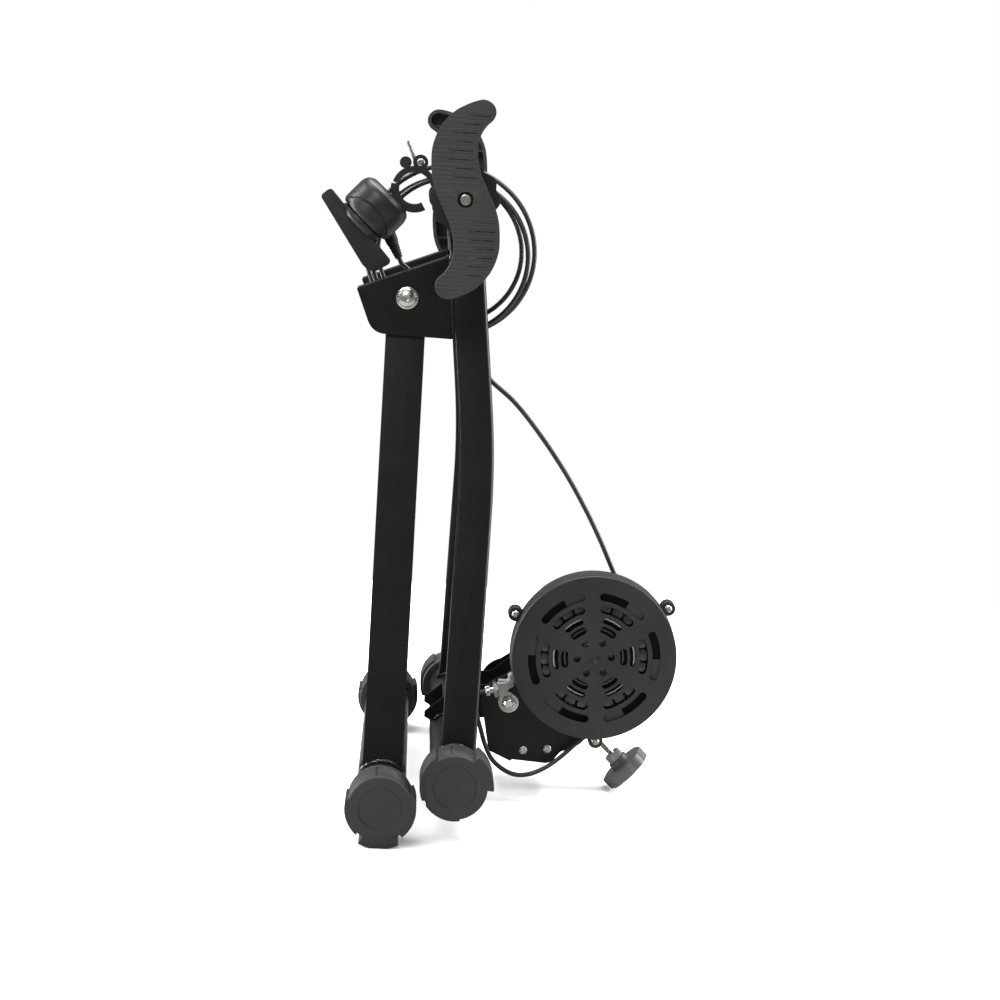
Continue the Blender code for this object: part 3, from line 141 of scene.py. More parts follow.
GRIP_EDGE = ((20.6, 67.5), (19.8, 72.4), (16.2, 76.4), (10.5, 78.2), (3.8, 76.6), (-3.0, 73.6),
             (-11.1, 68.8), (-18.4, 61.4), (-24.2, 52.0), (-27.7, 41.0), (-28.3, 30.0), (-26.8, 15.5),
             (-22.6, 3.0), (-16.8, -8.5), (-11.2, -20.8), (-7.9, -33.5), (-7.8, -43.5), (-10.3, -52.0),
             (-14.2, -58.2), (-18.6, -62.6))
GROOVE_START = 3.4
GROOVE_STEP = 6.9
GROOVE_DEPTH = 0.9
GROOVE_EDGE = 3.4
GROOVE_CLEAR_OF_SCREW = 11
LAST_GROOVE = 9

PIVOT = (104.2, 81.0)
PIVOT_BOLT_RADIUS = 4.0
PIVOT_COLLAR_RADIUS = 9.0
TRUNNION = (118.5, 107.0)
TRUNNION_RADIUS = 9.0
TRUNNION_PIN_RADIUS = 4.0
SADDLE_OUTER = 33.0
SADDLE_WALL = 3.0
UNIT_PLATE_OUTER = 42.0
UNIT_PLATE_WALL = 3.0
ROLLER = (172.0, 130.5)
ROLLER_RADIUS = 16.0
ROLLER_HALF_LENGTH = 30.0
SHAFT_RADIUS = 6.0
SHAFT_END = -79
BEARING_RADIUS = 14.0
BEARING_WIDTH = 8.0
BEARING_BOSS_RADIUS = 18.0
BEARING_BOSS = (34.0, 43.2)
FLYWHEEL_RADIUS = 44.0
FLYWHEEL = (46.0, 60.0)
UNIT_TILT = 4.7

HOUSING_RADIUS = 70.0
HOUSING_WALL = 2.5
HOUSING_BACK = 56.0
HOUSING_JOINT = 66.0
HOUSING_FRONT = 86.0
LOBE_FACE = 71.0
LOBE_STEP = 0.2
LOBE_RADIUS = 6.2
LOBE_CIRCLE = 74.0
HUB_RADIUS = 25.0
CARRIER = (76.5, 80.5)
CARRIER_RIM_GAP = 0.4
CARRIER_BORE = 21.0
MAGNET_CIRCLE = 41.7
MAGNET_RADIUS = 4.9
MAGNET_COUNT = 24
ROTOR = (70.5, 72.5)
TRACK_RADII = ((23.6, 25.4), (33.0, 34.6))
PAD_RADII = (48.6, 55.6)
ROTOR_RADIUS = 57.0
ROTOR_HUB_RADIUS = 11
BACK_RIB_COUNT = 12
BACK_RIB_HALF = 0.9
LOBE_HOLE_RADIUS = 2.1
VENT_SECTORS = 6
VENT_HOLE_CIRCLE = 14.3
VENT_HOLE_RADIUS = 3.1
VENT_ROWS = ((24.9, 9.7, 6.0), (32.5, 10.8, 4.8), (41.7, 16.4, 6.7), (52.1, 19.6, 6.6))

TENSION_AXIS = Vector((0.725, 0.0, -0.689)).normalized()
TENSION_RADIUS = 3.0
TENSION_COLLAR_RADIUS = 5.5
KNOB_START = 116.4
KNOB_FACE = 122.3
KNOB_THICKNESS = 9.8
KNOB_RADIUS = 21.6
KNOB_LOBES = 8
KNOB_HUB_RADIUS = 9.0
STEPS_PER_LOBE = 16
CROSSPLATE_AT = 67.2

SHIFTER_FACE = Vector((-36.9, -70.0, 483.4))
SHIFTER_AXIS = Vector((0.68, 0.0, 0.733)).normalized()
SHIFTER_RADIUS = 24.5
SHIFTER_LENGTH = 31.0
LEVER_WIDTH = 24.0
LEVER_SECTION = ((-10.7, -39.2, 3.0), (-0.6, -38.0, 3.0), (-7.3, 40.5, 4.0), (-23.7, 36.0, 4.0),
                 (-26.1, 26.8, 4.0))
BAND_CENTRE = (3.5, 511.5)
BAND_BORE = 12.5
BAND_RADIUS = 18.0
BAND_WIDTH = 12.0
BAND_EARS = (((-4.6, 532.6), 4.9), ((7.6, 533.2), 6.3))

CABLE_RADIUS = 2.0
COIL_CENTRE = (34.5, 460.0)
COIL_INNER = 56.5
COIL_OUTER = 72.0
COIL_TURNS = 3.0
COIL_LAYER_STEP = 4.8
COIL_HANG_Y = -63.5
COIL_SLANT = 0.51
LEAD_ROUTE = ((3.5, -57.0, 443.5), (11.5, -54.0, 435.0), (16.5, -51.5, 423.0), (20.5, -49.5, 410.5))
RUN_ROUTE = ((46.5, -70.5, 402.6), (52.5, -74.8, 398.0), (57.5, -77.5, 391.0), (62.0, -78.0, 381.0),
             (66.5, -76.5, 370.0), (73.5, -73.0, 358.0), (95.4, -68.0, 339.3), (117.7, -63.0, 313.5),
             (140.3, -58.0, 282.7), (158.7, -54.0, 253.2), (173.5, -51.0, 226.0), (186.5, -49.5, 199.0),
             (200.0, -49.3, 172.0), (210.0, -49.3, 146.0), (211.0, -49.3, 118.0), (203.0, -49.3, 92.0),
             (187.0, -49.5, 70.0), (165.0, -51.5, 51.5), (149.9, -54.0, 37.6), (137.6, -55.5, 28.6),
             (124.8, -56.0, 22.8), (113.0, -56.0, 21.6), (102.0, -55.5, 25.6), (92.0, -54.5, 34.0),
             (85.5, -53.5, 46.5), (80.5, -52.5, 62.0), (76.0, -52.0, 77.0), (76.6, -52.0, 86.5))
ADJUSTER_START = Vector((84.0, -52.0, 91.6))
ADJUSTER_AXIS = Vector((0.98, 0.0, 0.199)).normalized()
BOOT_START = Vector((-15.9, -64.0, 473.8))
BOOT_AXIS = Vector((0.43, 0.09, -0.9)).normalized()
BOOT_LENGTH = 22.0

# Camera, fitted to the photograph's frame
LENS = 96.19
CAMERA_PLACE = Vector((10.3, -2278.5, 534.9))
CAMERA_YAW = 1.99
CAMERA_PITCH = 7.15
CAMERA_ROLL = 3.0


# Outlines and routes

def arc(centre, radius, start, end, steps):
    """Points on an arc, with angles in degrees from the first axis towards the second."""
    angles = [math.radians(start + (end - start) * index / steps) for index in range(steps + 1)]
    return [(centre[0] + radius * math.cos(a), centre[1] + radius * math.sin(a)) for a in angles]


def polar(centre, radius, angle):
    """The point at an angle on a circle."""
    return arc(centre, radius, angle, angle, 1)[0]


def circle(radius, steps=48, centre=(0.0, 0.0)):
    return arc(centre, radius, 0, 360, steps)[:-1]


def hexagon(across_flats):
    return circle(across_flats / math.sqrt(3), 6)


def oblong(half_width, half_height):
    return [(-half_width, -half_height), (half_width, -half_height), (half_width, half_height),
            (-half_width, half_height)]


def softened(corners, steps=5):
    """An outline of (a, b) or (a, b, cut) corners, each rounded over its cut length."""
    outline = []
    for index, corner in enumerate(corners):
        here = Vector(corner[:2])
        length = corner[2] if len(corner) > 2 else 0
        if not length:
            outline.append(tuple(here))
            continue
        before = Vector(corners[index - 1][:2])
        after = Vector(corners[(index + 1) % len(corners)][:2])
        start = here + (before - here).normalized() * length
        end = here + (after - here).normalized() * length
        for step in range(steps + 1):
            t = step / steps
            outline.append(tuple(start * (1 - t) ** 2 + here * 2 * t * (1 - t) + end * t ** 2))
    return outline


def spline_through(points, steps, closed=False):
    """Points read from a smooth curve through the given ones."""
    vectors = [Vector(point) for point in points]
    if closed:
        ring = [vectors[-1], *vectors, vectors[0], vectors[1]]
        spans = len(vectors)
    else:
        ring = [vectors[0] * 2 - vectors[1], *vectors, vectors[-1] * 2 - vectors[-2]]
        spans = len(vectors) - 1
    result = []
    for span in range(spans):
        a, b, c, d = ring[span:span + 4]
        for step in range(steps):
            t = step / steps
            result.append(0.5 * (b * 2 + (c - a) * t + (a * 2 - b * 5 + c * 4 - d) * t * t
                                 + (b * 3 - a - c * 3 + d) * t ** 3))
    if not closed:
        result.append(vectors[-1])
    return result


def evenly_spaced(points, spacing):
    """Points at equal steps along a finely divided route, keeping both ends."""
    lengths = [0.0]
    for before, after in zip(points, points[1:]):
        lengths.append(lengths[-1] + (after - before).length)
    count = max(1, round(lengths[-1] / spacing))
    result = []
    index = 0
    for number in range(count + 1):
        target = lengths[-1] * number / count
        while index < len(points) - 2 and lengths[index + 1] < target:
            index += 1
        share = (target - lengths[index]) / (lengths[index + 1] - lengths[index])
        result.append(points[index].lerp(points[index + 1], share))
    return result


def spot(centre, y):
    """The place at an (x, z) centre and this far across the trainer."""
    return Vector((centre[0], y, centre[1]))


def facing(axis, spin=0.0):
    """Rotation that takes local Z to the axis, after a spin about it in degrees."""
    turn = Vector(axis).to_track_quat("Z", "Y").to_matrix().to_4x4()
    return turn @ Matrix.Rotation(math.radians(spin), 4, "Z")


# Meshes

def add_mesh(name, mesh):
    piece = bpy.data.objects.new(name, mesh)
    bpy.context.scene.collection.objects.link(piece)
    return piece


def from_form(name, form, transform=None):
    bmesh.ops.recalc_face_normals(form, faces=form.faces)
    mesh = bpy.data.meshes.new(name)
    form.to_mesh(mesh)
    form.free()
    if transform:
        mesh.transform(transform)
    return add_mesh(name, mesh)


def bake(piece):
    """Apply the piece's modifiers or turn its curve into a mesh, in place."""
    bpy.context.view_layer.update()
    graph = bpy.context.evaluated_depsgraph_get()
    mesh = bpy.data.meshes.new_from_object(piece.evaluated_get(graph))
    mesh.transform(piece.matrix_basis)
    name = piece.name
    bpy.data.objects.remove(piece)
    return add_mesh(name, mesh)


def skin(form, rows, closed):
    """Faces between rows of vertices; a row of one vertex is a pole."""
    steps = max(len(row) for row in rows)
    pairs = list(zip(rows, rows[1:]))
    if closed:
        pairs.append((rows[-1], rows[0]))
    for low, high in pairs:
        for index in range(steps):
            after = (index + 1) % steps
            corners = [low[index % len(low)], low[after % len(low)], high[after % len(high)],
                       high[index % len(high)]]
            corners = list(dict.fromkeys(corners))
            if len(corners) > 2:
                form.faces.new(corners)


def lathe(name, profile, start, axis, ring=False, steps=72, ripple=None):
    """Revolve a (radius, height[, cut]) profile; heights run along the axis from the start point."""
    form = bmesh.new()
    rows = []
    for radius, height in softened(profile):
        if radius < 1e-6:
            rows.append([form.verts.new((0, 0, height))])
            continue
        row = []
        for index in range(steps):
            angle = 2 * math.pi * index / steps
            reach = radius + (ripple(angle, radius) if ripple else 0)
            row.append(form.verts.new((reach * math.cos(angle), reach * math.sin(angle), height)))
        rows.append(row)
    skin(form, rows, ring)
    return from_form(name, form, Matrix.Translation(Vector(start)) @ facing(axis))


def across(name, profile, centre, side=1, **options):
    """Revolve about an axis that lies across the trainer through an (x, z) centre."""
    return lathe(name, profile, spot(centre, 0), (0, side, 0), **options)


def slab(name, loops, depth):
    """Flat closed outlines, inner ones being openings, given a depth about their own plane."""
    curve = bpy.data.curves.new(name, "CURVE")
    curve.dimensions = "2D"
    curve.fill_mode = "BOTH"
    curve.extrude = depth / 2
    for loop in loops:
        spline = curve.splines.new("POLY")
        spline.points.add(len(loop) - 1)
        spline.use_cyclic_u = True
        for point, (u, v) in zip(spline.points, loop):
            point.co = (u, v, 0, 1)
    piece = bake(add_mesh(name, curve))
    weld(piece)
    return piece


def extruded(name, loops, start, axis, depth, spin=0.0):
    """Outlines extruded along an axis from the start point."""
    piece = slab(name, loops, depth)
    middle = Vector(start) + Vector(axis).normalized() * depth / 2
    piece.data.transform(Matrix.Translation(middle) @ facing(axis, spin))
    return piece


def prism(name, loops, y_from, y_to):
    """Outlines of (x, z) points, extruded between two planes across the trainer."""
    piece = slab(name, loops, abs(y_to - y_from))
    middle = (y_from + y_to) / 2
    piece.data.transform(Matrix.Translation((0, middle, 0)) @ Matrix.Rotation(math.pi / 2, 4, "X"))
    return piece


def weld(piece):
    form = bmesh.new()
    form.from_mesh(piece.data)
    bmesh.ops.remove_doubles(form, verts=form.verts, dist=WELD_DISTANCE)
    bmesh.ops.recalc_face_normals(form, faces=form.faces)
    form.to_mesh(piece.data)
    form.free()


def rod(name, start, end, radius, steps=48, edge=0.0):
    """A cylinder between two points, with softened ends."""
    start = Vector(start)
    length = (Vector(end) - start).length
    profile = [(0, 0), (radius, 0, edge), (radius, length, edge), (0, length)]
    return lathe(name, profile, start, Vector(end) - start, steps=steps)


def cross_hole(name, centre, side, near, far, radius, steps=48):
    """A rod across the trainer, through an (x, z) centre."""
    return rod(name, spot(centre, side * near), spot(centre, side * far), radius, steps)


def bead_tube(name, points, radius, wave=0.15, closed=False):
    """A weld bead along a route, with the ripple of its passes."""
    return tube(name, points, radius, 10, closed, lambda index: 1 + wave * math.cos(index * 2.4))


def combine(piece, operation, *tools):
    """Cut or fuse the tools, which are used up."""
    for tool in tools:
        step = piece.modifiers.new(operation.lower(), "BOOLEAN")
        step.operation = operation
        step.solver = "EXACT"
        step.object = tool
        piece = bake(piece)
        bpy.data.objects.remove(tool)
    return piece


def joined(name, pieces):
    """One mesh made of several closed forms."""
    form = bmesh.new()
    for piece in pieces:
        form.from_mesh(piece.data)
        bpy.data.objects.remove(piece)
    return from_form(name, form)


def rounded_edges(piece, width, segments=3, angle=40.0):
    bevel = piece.modifiers.new("rounded", "BEVEL")
    bevel.width = width
    bevel.segments = segments
    bevel.limit_method = "ANGLE"
    bevel.angle_limit = math.radians(angle)
    return bake(piece)


def tube_rings(points, radius, sides, swell=None):
    """Rings of points round a route, turned along with it and never twisted."""
    rings = []
    normal = None
    for index, point in enumerate(points):
        before = points[max(index - 1, 0)]
        after = points[min(index + 1, len(points) - 1)]
        along = (after - before).normalized()
        if normal is None:
            normal = along.orthogonal().normalized()
        normal = (normal - along * normal.dot(along)).normalized()
        other = along.cross(normal)
        reach = radius * (swell(index) if swell else 1)
        rings.append([point + (normal * math.cos(a) + other * math.sin(a)) * reach
                      for a in (2 * math.pi * side / sides for side in range(sides))])
    return rings


def tube(name, points, radius, sides=16, closed=False, swell=None):
    """A round tube along a route."""
    form = bmesh.new()
    rows = [[form.verts.new(place) for place in ring] for ring in tube_rings(points, radius, sides, swell)]
    if not closed:
        rows = [[form.verts.new(points[0])], *rows, [form.verts.new(points[-1])]]
    skin(form, rows, closed)
    return from_form(name, form)


def threaded(name, start, axis, radius, length, pitch, depth, steps=32, per_pitch=6):
    """A screwed rod with a true helical ridge and plain tapered ends."""
    form = bmesh.new()
    count = round(length / pitch * per_pitch)
    rows = [[form.verts.new((0, 0, 0))]]
    for row in range(count + 1):
        height = length * row / count
        end_fade = min(1.0, height / pitch, (length - height) / pitch)
        ring = []
        for index in range(steps):
            phase = (height / pitch - index / steps) % 1.0
            crest = min(1.0, max(0.0, 2.2 * abs(phase - 0.5) - 0.1))
            reach = radius - depth * (1 - crest * end_fade)
            angle = 2 * math.pi * index / steps
            ring.append(form.verts.new((reach * math.cos(angle), reach * math.sin(angle), height)))
        rows.append(ring)
    rows.append([form.verts.new((0, 0, length))])
    skin(form, rows, False)
    return from_form(name, form, Matrix.Translation(Vector(start)) @ facing(axis))


def lean(piece, side, y_at, z_at, slope):
    """Shear a piece so that it leans in towards the mid-plane as it rises."""
    shear = Matrix.Identity(4)
    shear[1][2] = -side * slope
    shear[1][3] = side * (y_at + slope * z_at)
    piece.data.transform(shear)


def smooth(piece, angle=35.0):
    piece.data.shade_smooth()
    piece.data.set_sharp_from_angle(angle=math.radians(angle))


def fit(piece, body, finish, *nodes):
    """Place a finished piece in the row frame, on its body, in the stead of the CAD nodes named."""
    piece.data.transform(TO_ROW)
    smooth(piece)
    piece.data.materials.clear()
    piece.data.materials.append(FINISHES[finish])
    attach(piece, body)
    if nodes:
        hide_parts(*nodes)
    return piece


# Shader groups

def new_group(name, inputs, outputs):
    """An empty shader group with float inputs and outputs, and its first nodes."""
    group = bpy.data.node_groups.new(name, "ShaderNodeTree")
    for label, default in inputs:
        socket = group.interface.new_socket(name=label, in_out="INPUT", socket_type="NodeSocketFloat")
        socket.default_value = default
    for label in outputs:
        group.interface.new_socket(name=label, in_out="OUTPUT", socket_type="NodeSocketFloat")
    return group, group.nodes.new("NodeGroupInput"), group.nodes.new("NodeGroupOutput")


def math_node(tree, operation, first, second=None, clamp=False):
    node = tree.nodes.new("ShaderNodeMath")
    node.operation = operation
    node.use_clamp = clamp
    for socket, value in zip(node.inputs, (first, second)):
        if isinstance(value, (int, float)):
            socket.default_value = value
        elif value is not None:
            tree.links.new(value, socket)
    return node.outputs[0]


def range_node(tree, value, low, high, to_low=0.0, to_high=1.0):
    node = tree.nodes.new("ShaderNodeMapRange")
    node.interpolation_type = "SMOOTHSTEP"
    tree.links.new(value, node.inputs["Value"])
    for label, number in (("From Min", low), ("From Max", high), ("To Min", to_low), ("To Max", to_high)):
        node.inputs[label].default_value = number
    return node.outputs["Result"]


def noise_node(tree, scale, detail=2.0, place=None):
    """Noise in the piece's own coordinates, or at the place given, with a scale in bumps a metre."""
    if place is None:
        place = tree.nodes.new("ShaderNodeTexCoord").outputs["Object"]
    node = tree.nodes.new("ShaderNodeTexNoise")
    node.inputs["Detail"].default_value = detail
    tree.links.new(place, node.inputs["Vector"])
    if isinstance(scale, (int, float)):
        node.inputs["Scale"].default_value = scale
    else:
        tree.links.new(scale, node.inputs["Scale"])
    return node.outputs["Fac"]


def split_node(tree, vector):
    node = tree.nodes.new("ShaderNodeSeparateXYZ")
    tree.links.new(vector, node.inputs[0])
    return node.outputs


def grain_group():
    """Fine bumps of a moulded or coated skin, with slow patches of more and less sheen."""
    group, given, put = new_group("surface_grain", (("Bumps per Metre", 2500.0), ("Patches per Metre", 30.0)),
                                  ("Height", "Patch"))
    fine = noise_node(group, given.outputs["Bumps per Metre"], 3.0)
    broad = noise_node(group, given.outputs["Patches per Metre"], 3.0)
    group.links.new(fine, put.inputs["Height"])
    group.links.new(range_node(group, broad, 0.3, 0.7), put.inputs["Patch"])
    return group


def rub_group():
    """Edges a little lighter: wear where hands and the floor have rubbed them, and a painted highlight along
    their rounding.
    """
    group, given, put = new_group("edge_rub", (("Amount", 0.5),), ("Mask",))
    soft = group.nodes.new("ShaderNodeBevel")
    soft.samples = 3
    soft.inputs["Radius"].default_value = 0.0008
    turn = group.nodes.new("ShaderNodeVectorMath")
    turn.operation = "DOT_PRODUCT"
    group.links.new(soft.outputs["Normal"], turn.inputs[0])
    group.links.new(group.nodes.new("ShaderNodeNewGeometry").outputs["Normal"], turn.inputs[1])
    edge = range_node(group, turn.outputs["Value"], 0.99, 0.9)
    wear_and_highlight = range_node(group, noise_node(group, 140.0, 4.0), 0.42, 0.66)
    mask = math_node(group, "MULTIPLY", edge, wear_and_highlight)
    group.links.new(math_node(group, "MULTIPLY", mask, given.outputs["Amount"], True), put.inputs["Mask"])
    return group


def rib_group():
    """Level grooves at even steps up the piece, as in a moulded grip."""
    group, given, put = new_group("moulded_ribs", (("Ribs per Metre", 290.0), ("Start", 0.0)), ("Height",))
    place = split_node(group, group.nodes.new("ShaderNodeTexCoord").outputs["Object"])
    rise = math_node(group, "SUBTRACT", place["Z"], given.outputs["Start"])
    turns = math_node(group, "ADD", math_node(group, "MULTIPLY", rise, given.outputs["Ribs per Metre"]), 0.5)
    off = math_node(group, "ABSOLUTE", math_node(group, "SUBTRACT", math_node(group, "FRACT", turns), 0.5))
    group.links.new(range_node(group, off, 0.02, 0.2), put.inputs["Height"])
    return group


def dust_group():
    """Sparse pale specks and a thin haze on faces that look up."""
    group, given, put = new_group("settled_dust", (("Amount", 0.3),), ("Mask",))
    normal = split_node(group, group.nodes.new("ShaderNodeNewGeometry").outputs["Normal"])
    upward = range_node(group, normal["Z"], 0.2, 1.0, 0.02, 1.0)
    specks = range_node(group, noise_node(group, 900.0, 1.0), 0.68, 0.76)
    haze = range_node(group, noise_node(group, 60.0, 5.0), 0.45, 0.8, 0.0, 0.35)
    both = math_node(group, "ADD", specks, haze, True)
    lying = math_node(group, "MULTIPLY", both, upward)
    group.links.new(math_node(group, "MULTIPLY", lying, given.outputs["Amount"], True), put.inputs["Mask"])
    return group


def turning_group():
    """Fine rings left by a lathe about an axis across the trainer."""
    group, given, put = new_group("turning_marks", (("Axis X", 0.0), ("Axis Z", 0.0),
                                                    ("Rings per Metre", 2500.0)), ("Height",))
    place = split_node(group, group.nodes.new("ShaderNodeTexCoord").outputs["Object"])
    x = math_node(group, "SUBTRACT", place["X"], given.outputs["Axis X"])
    z = math_node(group, "SUBTRACT", place["Z"], given.outputs["Axis Z"])
    square = math_node(group, "ADD", math_node(group, "MULTIPLY", x, x), math_node(group, "MULTIPLY", z, z))
    radius = math_node(group, "SQRT", square)
    both = group.nodes.new("ShaderNodeCombineXYZ")
    group.links.new(radius, both.inputs["X"])
    group.links.new(place["Y"], both.inputs["Y"])
    rings = noise_node(group, given.outputs["Rings per Metre"], place=both.outputs[0])
    group.links.new(rings, put.inputs["Height"])
    return group


# Finishes

DUST_COLOUR = (0.16, 0.155, 0.145)


def new_finish(name, roughness, metallic=0.0, specular=0.5):
    finish = bpy.data.materials.new(name)
    finish.use_nodes = True
    shader = finish.node_tree.nodes["Principled BSDF"]
    shader.inputs["Roughness"].default_value = roughness
    shader.inputs["Metallic"].default_value = metallic
    shader.inputs["Specular IOR Level"].default_value = specular
    return finish, finish.node_tree, shader


def use_group(tree, group, **values):
    node = tree.nodes.new("ShaderNodeGroup")
    node.node_tree = group
    for label, value in values.items():
        node.inputs[label.replace("_", " ")].default_value = value
    return node


def mix_colour(tree, factor, first, second):
    """A colour between two, each a colour value or a socket."""
    node = tree.nodes.new("ShaderNodeMix")
    node.data_type = "RGBA"
    tree.links.new(factor, node.inputs[0])
    for socket, value in ((node.inputs[6], first), (node.inputs[7], second)):
        if isinstance(value, tuple):
            socket.default_value = (*value, 1.0)
        else:
            tree.links.new(value, socket)
    return node.outputs[2]


def bump(tree, shader, height, distance):
    node = tree.nodes.new("ShaderNodeBump")
    node.inputs["Distance"].default_value = distance
    tree.links.new(height, node.inputs["Height"])
    tree.links.new(node.outputs["Normal"], shader.inputs["Normal"])


def lighter(colour, by):
    return tuple(channel + by for channel in colour)


def paler(colour, share):
    return tuple(channel * (1 + share) for channel in colour)


def coated_finish(name, colour, roughness, spread, bumps, depth, rub, dust, specular, ribs=0.0, wear_and_highlight=0.03):
    """Black paint, moulded plastic or rubber: a grained skin, edges lightened as wear and as painted
    highlight, and a little dust.
    """
    finish, tree, shader = new_finish(name, roughness, specular=specular)
    grain = use_group(tree, GROUPS["grain"], Bumps_per_Metre=bumps)
    rubbed = use_group(tree, GROUPS["rub"], Amount=rub)
    dusty = use_group(tree, GROUPS["dust"], Amount=dust)
    base = mix_colour(tree, grain.outputs["Patch"], colour, paler(colour, 0.15))
    # Edges lighter by the given lift: partly wear, partly a painted highlight on the rounded edges.
    base = mix_colour(tree, rubbed.outputs["Mask"], base, lighter(colour, wear_and_highlight))
    base = mix_colour(tree, dusty.outputs["Mask"], base, DUST_COLOUR)
    tree.links.new(base, shader.inputs["Base Color"])
    rough = range_node(tree, grain.outputs["Patch"], 0.0, 1.0, roughness - spread, roughness + spread)
    tree.links.new(rough, shader.inputs["Roughness"])
    height = grain.outputs["Height"]
    if ribs:
        lines = use_group(tree, GROUPS["ribs"], Start=(CLAMP[1] + GROOVE_START) * MM,
                          Ribs_per_Metre=2 / (GROOVE_STEP * MM))
        height = math_node(tree, "ADD", math_node(tree, "MULTIPLY", height, depth / ribs),
                           lines.outputs["Height"])
    bump(tree, shader, height, ribs or depth)
    return finish


def plated_finish(name, colour, roughness):
    """Bright plating: small bumps under a clear shine, with faint warmer and duller patches."""
    finish, tree, shader = new_finish(name, roughness, metallic=1.0)
    grain = use_group(tree, GROUPS["grain"], Bumps_per_Metre=900.0, Patches_per_Metre=180.0)
    warm = (colour[0], colour[1] * 0.95, colour[2] * 0.86)
    tree.links.new(mix_colour(tree, grain.outputs["Patch"], colour, warm), shader.inputs["Base Color"])
    rough = range_node(tree, grain.outputs["Patch"], 0.0, 1.0, roughness - 0.06, roughness + 0.08)
    tree.links.new(rough, shader.inputs["Roughness"])
    bump(tree, shader, grain.outputs["Height"], 0.00002)
    return finish


def turned_finish(name, colour, roughness, centre, depth=0.00003, rings=2500.0):
    """Machined metal, with fine rings about its own axis."""
    finish, tree, shader = new_finish(name, roughness, metallic=1.0)
    grain = use_group(tree, GROUPS["grain"], Patches_per_Metre=70.0)
    marks = use_group(tree, GROUPS["turning"], Axis_X=(centre[0] - CENTRE_X) * MM, Axis_Z=centre[1] * MM,
                      Rings_per_Metre=rings)
    dull = paler(colour, -0.28)
    shade = range_node(tree, marks.outputs["Height"], 0.35, 0.65)
    streaked = mix_colour(tree, shade, dull, colour)
    tree.links.new(mix_colour(tree, grain.outputs["Patch"], streaked, dull), shader.inputs["Base Color"])
    rough = range_node(tree, marks.outputs["Height"], 0.3, 0.7, roughness - 0.08, roughness + 0.1)
    tree.links.new(rough, shader.inputs["Roughness"])
    bump(tree, shader, marks.outputs["Height"], depth)
    return finish


GROUPS = {}
FINISHES = {}


def make_finishes(looks):
    """All groups and finishes, from the colours and values in the panel."""
    GROUPS.update(grain=grain_group(), rub=rub_group(), ribs=rib_group(), dust=dust_group(),
                  turning=turning_group())
    paint = tuple(looks.paint_colour)
    plastic = tuple(looks.plastic_colour)
    steel = tuple(looks.steel_colour)
    FINISHES.update(
        paint=coated_finish("black_powder_coat", paint, looks.paint_roughness, 0.02, 1400.0, 0.00002,
                            looks.edge_wear_and_highlight, 0.03, 0.3),
        bead=coated_finish("painted_weld_bead", lighter(paint, 0.003), 0.2, 0.05, 2600.0, 0.00006,
                           looks.edge_wear_and_highlight, 0.1, 0.6),
        # The grip's edges are lifted most: a painted highlight along the rounded edges, with a little wear.
        grip=coated_finish("grip_plastic", lighter(plastic, 0.014), looks.plastic_roughness, 0.04, 2600.0,
                           0.00005, looks.edge_wear_and_highlight, 0.2, 0.35, 0.0002, 0.09),
        ring=coated_finish("hand_ring_plastic", lighter(plastic, 0.002), looks.plastic_roughness, 0.04,
                           2600.0, 0.00005, looks.edge_wear_and_highlight, 0.2, 0.35),
        knob=coated_finish("knob_plastic", lighter(plastic, 0.055), 0.4, 0.04, 2600.0, 0.00005,
                           looks.edge_wear_and_highlight, 0.2, 0.4),
        cap=coated_finish("foot_cap_rubber", lighter(plastic, 0.008), 0.58, 0.06, 1700.0, 0.00008,
                          looks.edge_wear_and_highlight, 0.6, 0.35),
        housing=coated_finish("brake_housing_plastic", lighter(plastic, 0.0065), 0.44, 0.04, 3200.0,
                              0.00003, looks.edge_wear_and_highlight * 0.6, 0.2, 0.35),
        lever=coated_finish("lever_plastic", lighter(plastic, 0.004), 0.4, 0.04, 2400.0, 0.00004,
                            looks.edge_wear_and_highlight, 0.2, 0.4),
        lug=coated_finish("grey_lug_plastic", lighter(plastic, 0.16), 0.42, 0.05, 2400.0, 0.00004,
                          0.3, 0.2, 0.4),
        boot=coated_finish("boot_rubber_skin", plastic, 0.62, 0.05, 1900.0, 0.00006, 0.2, 0.2, 0.3),
        jacket=coated_finish("cable_jacket_skin", lighter(plastic, 0.006), 0.3, 0.04, 1100.0, 0.00002, 0.1,
                             0.1, 0.5),
        plated=plated_finish("zinc_plated_steel", steel, looks.steel_roughness),
        magnet=plated_finish("nickel_plated_magnet", (0.1, 0.098, 0.094), 0.24),
        track=plated_finish("polished_track", (0.6, 0.6, 0.58), 0.2),
        dull=plated_finish("dull_plated_steel", (0.3, 0.3, 0.3), 0.42),
        roller=turned_finish("turned_roller_steel", (0.46, 0.46, 0.47), 0.36, ROLLER),
        flywheel=turned_finish("turned_flywheel_steel", (0.38, 0.38, 0.39), 0.4, ROLLER, 0.00006, 1500.0),
        carrier=coated_finish("magnet_ring_plastic", paler(plastic, -0.8), 0.6, 0.05, 2600.0, 0.00004,
                              0.1, 0.0, 0.15),
        pad=coated_finish("grey_pad_plastic", lighter(plastic, 0.02), 0.5, 0.05, 2600.0, 0.00004, 0.1,
                          0.1, 0.3),
        rotor=turned_finish("rotor_aluminium_sheet", (0.6, 0.6, 0.61), 0.3, ROLLER, 0.00003, 1200.0),
        spindle=turned_finish("screwed_spindle_steel", (0.4, 0.4, 0.41), 0.36, CLAMP),
    )


# Cable

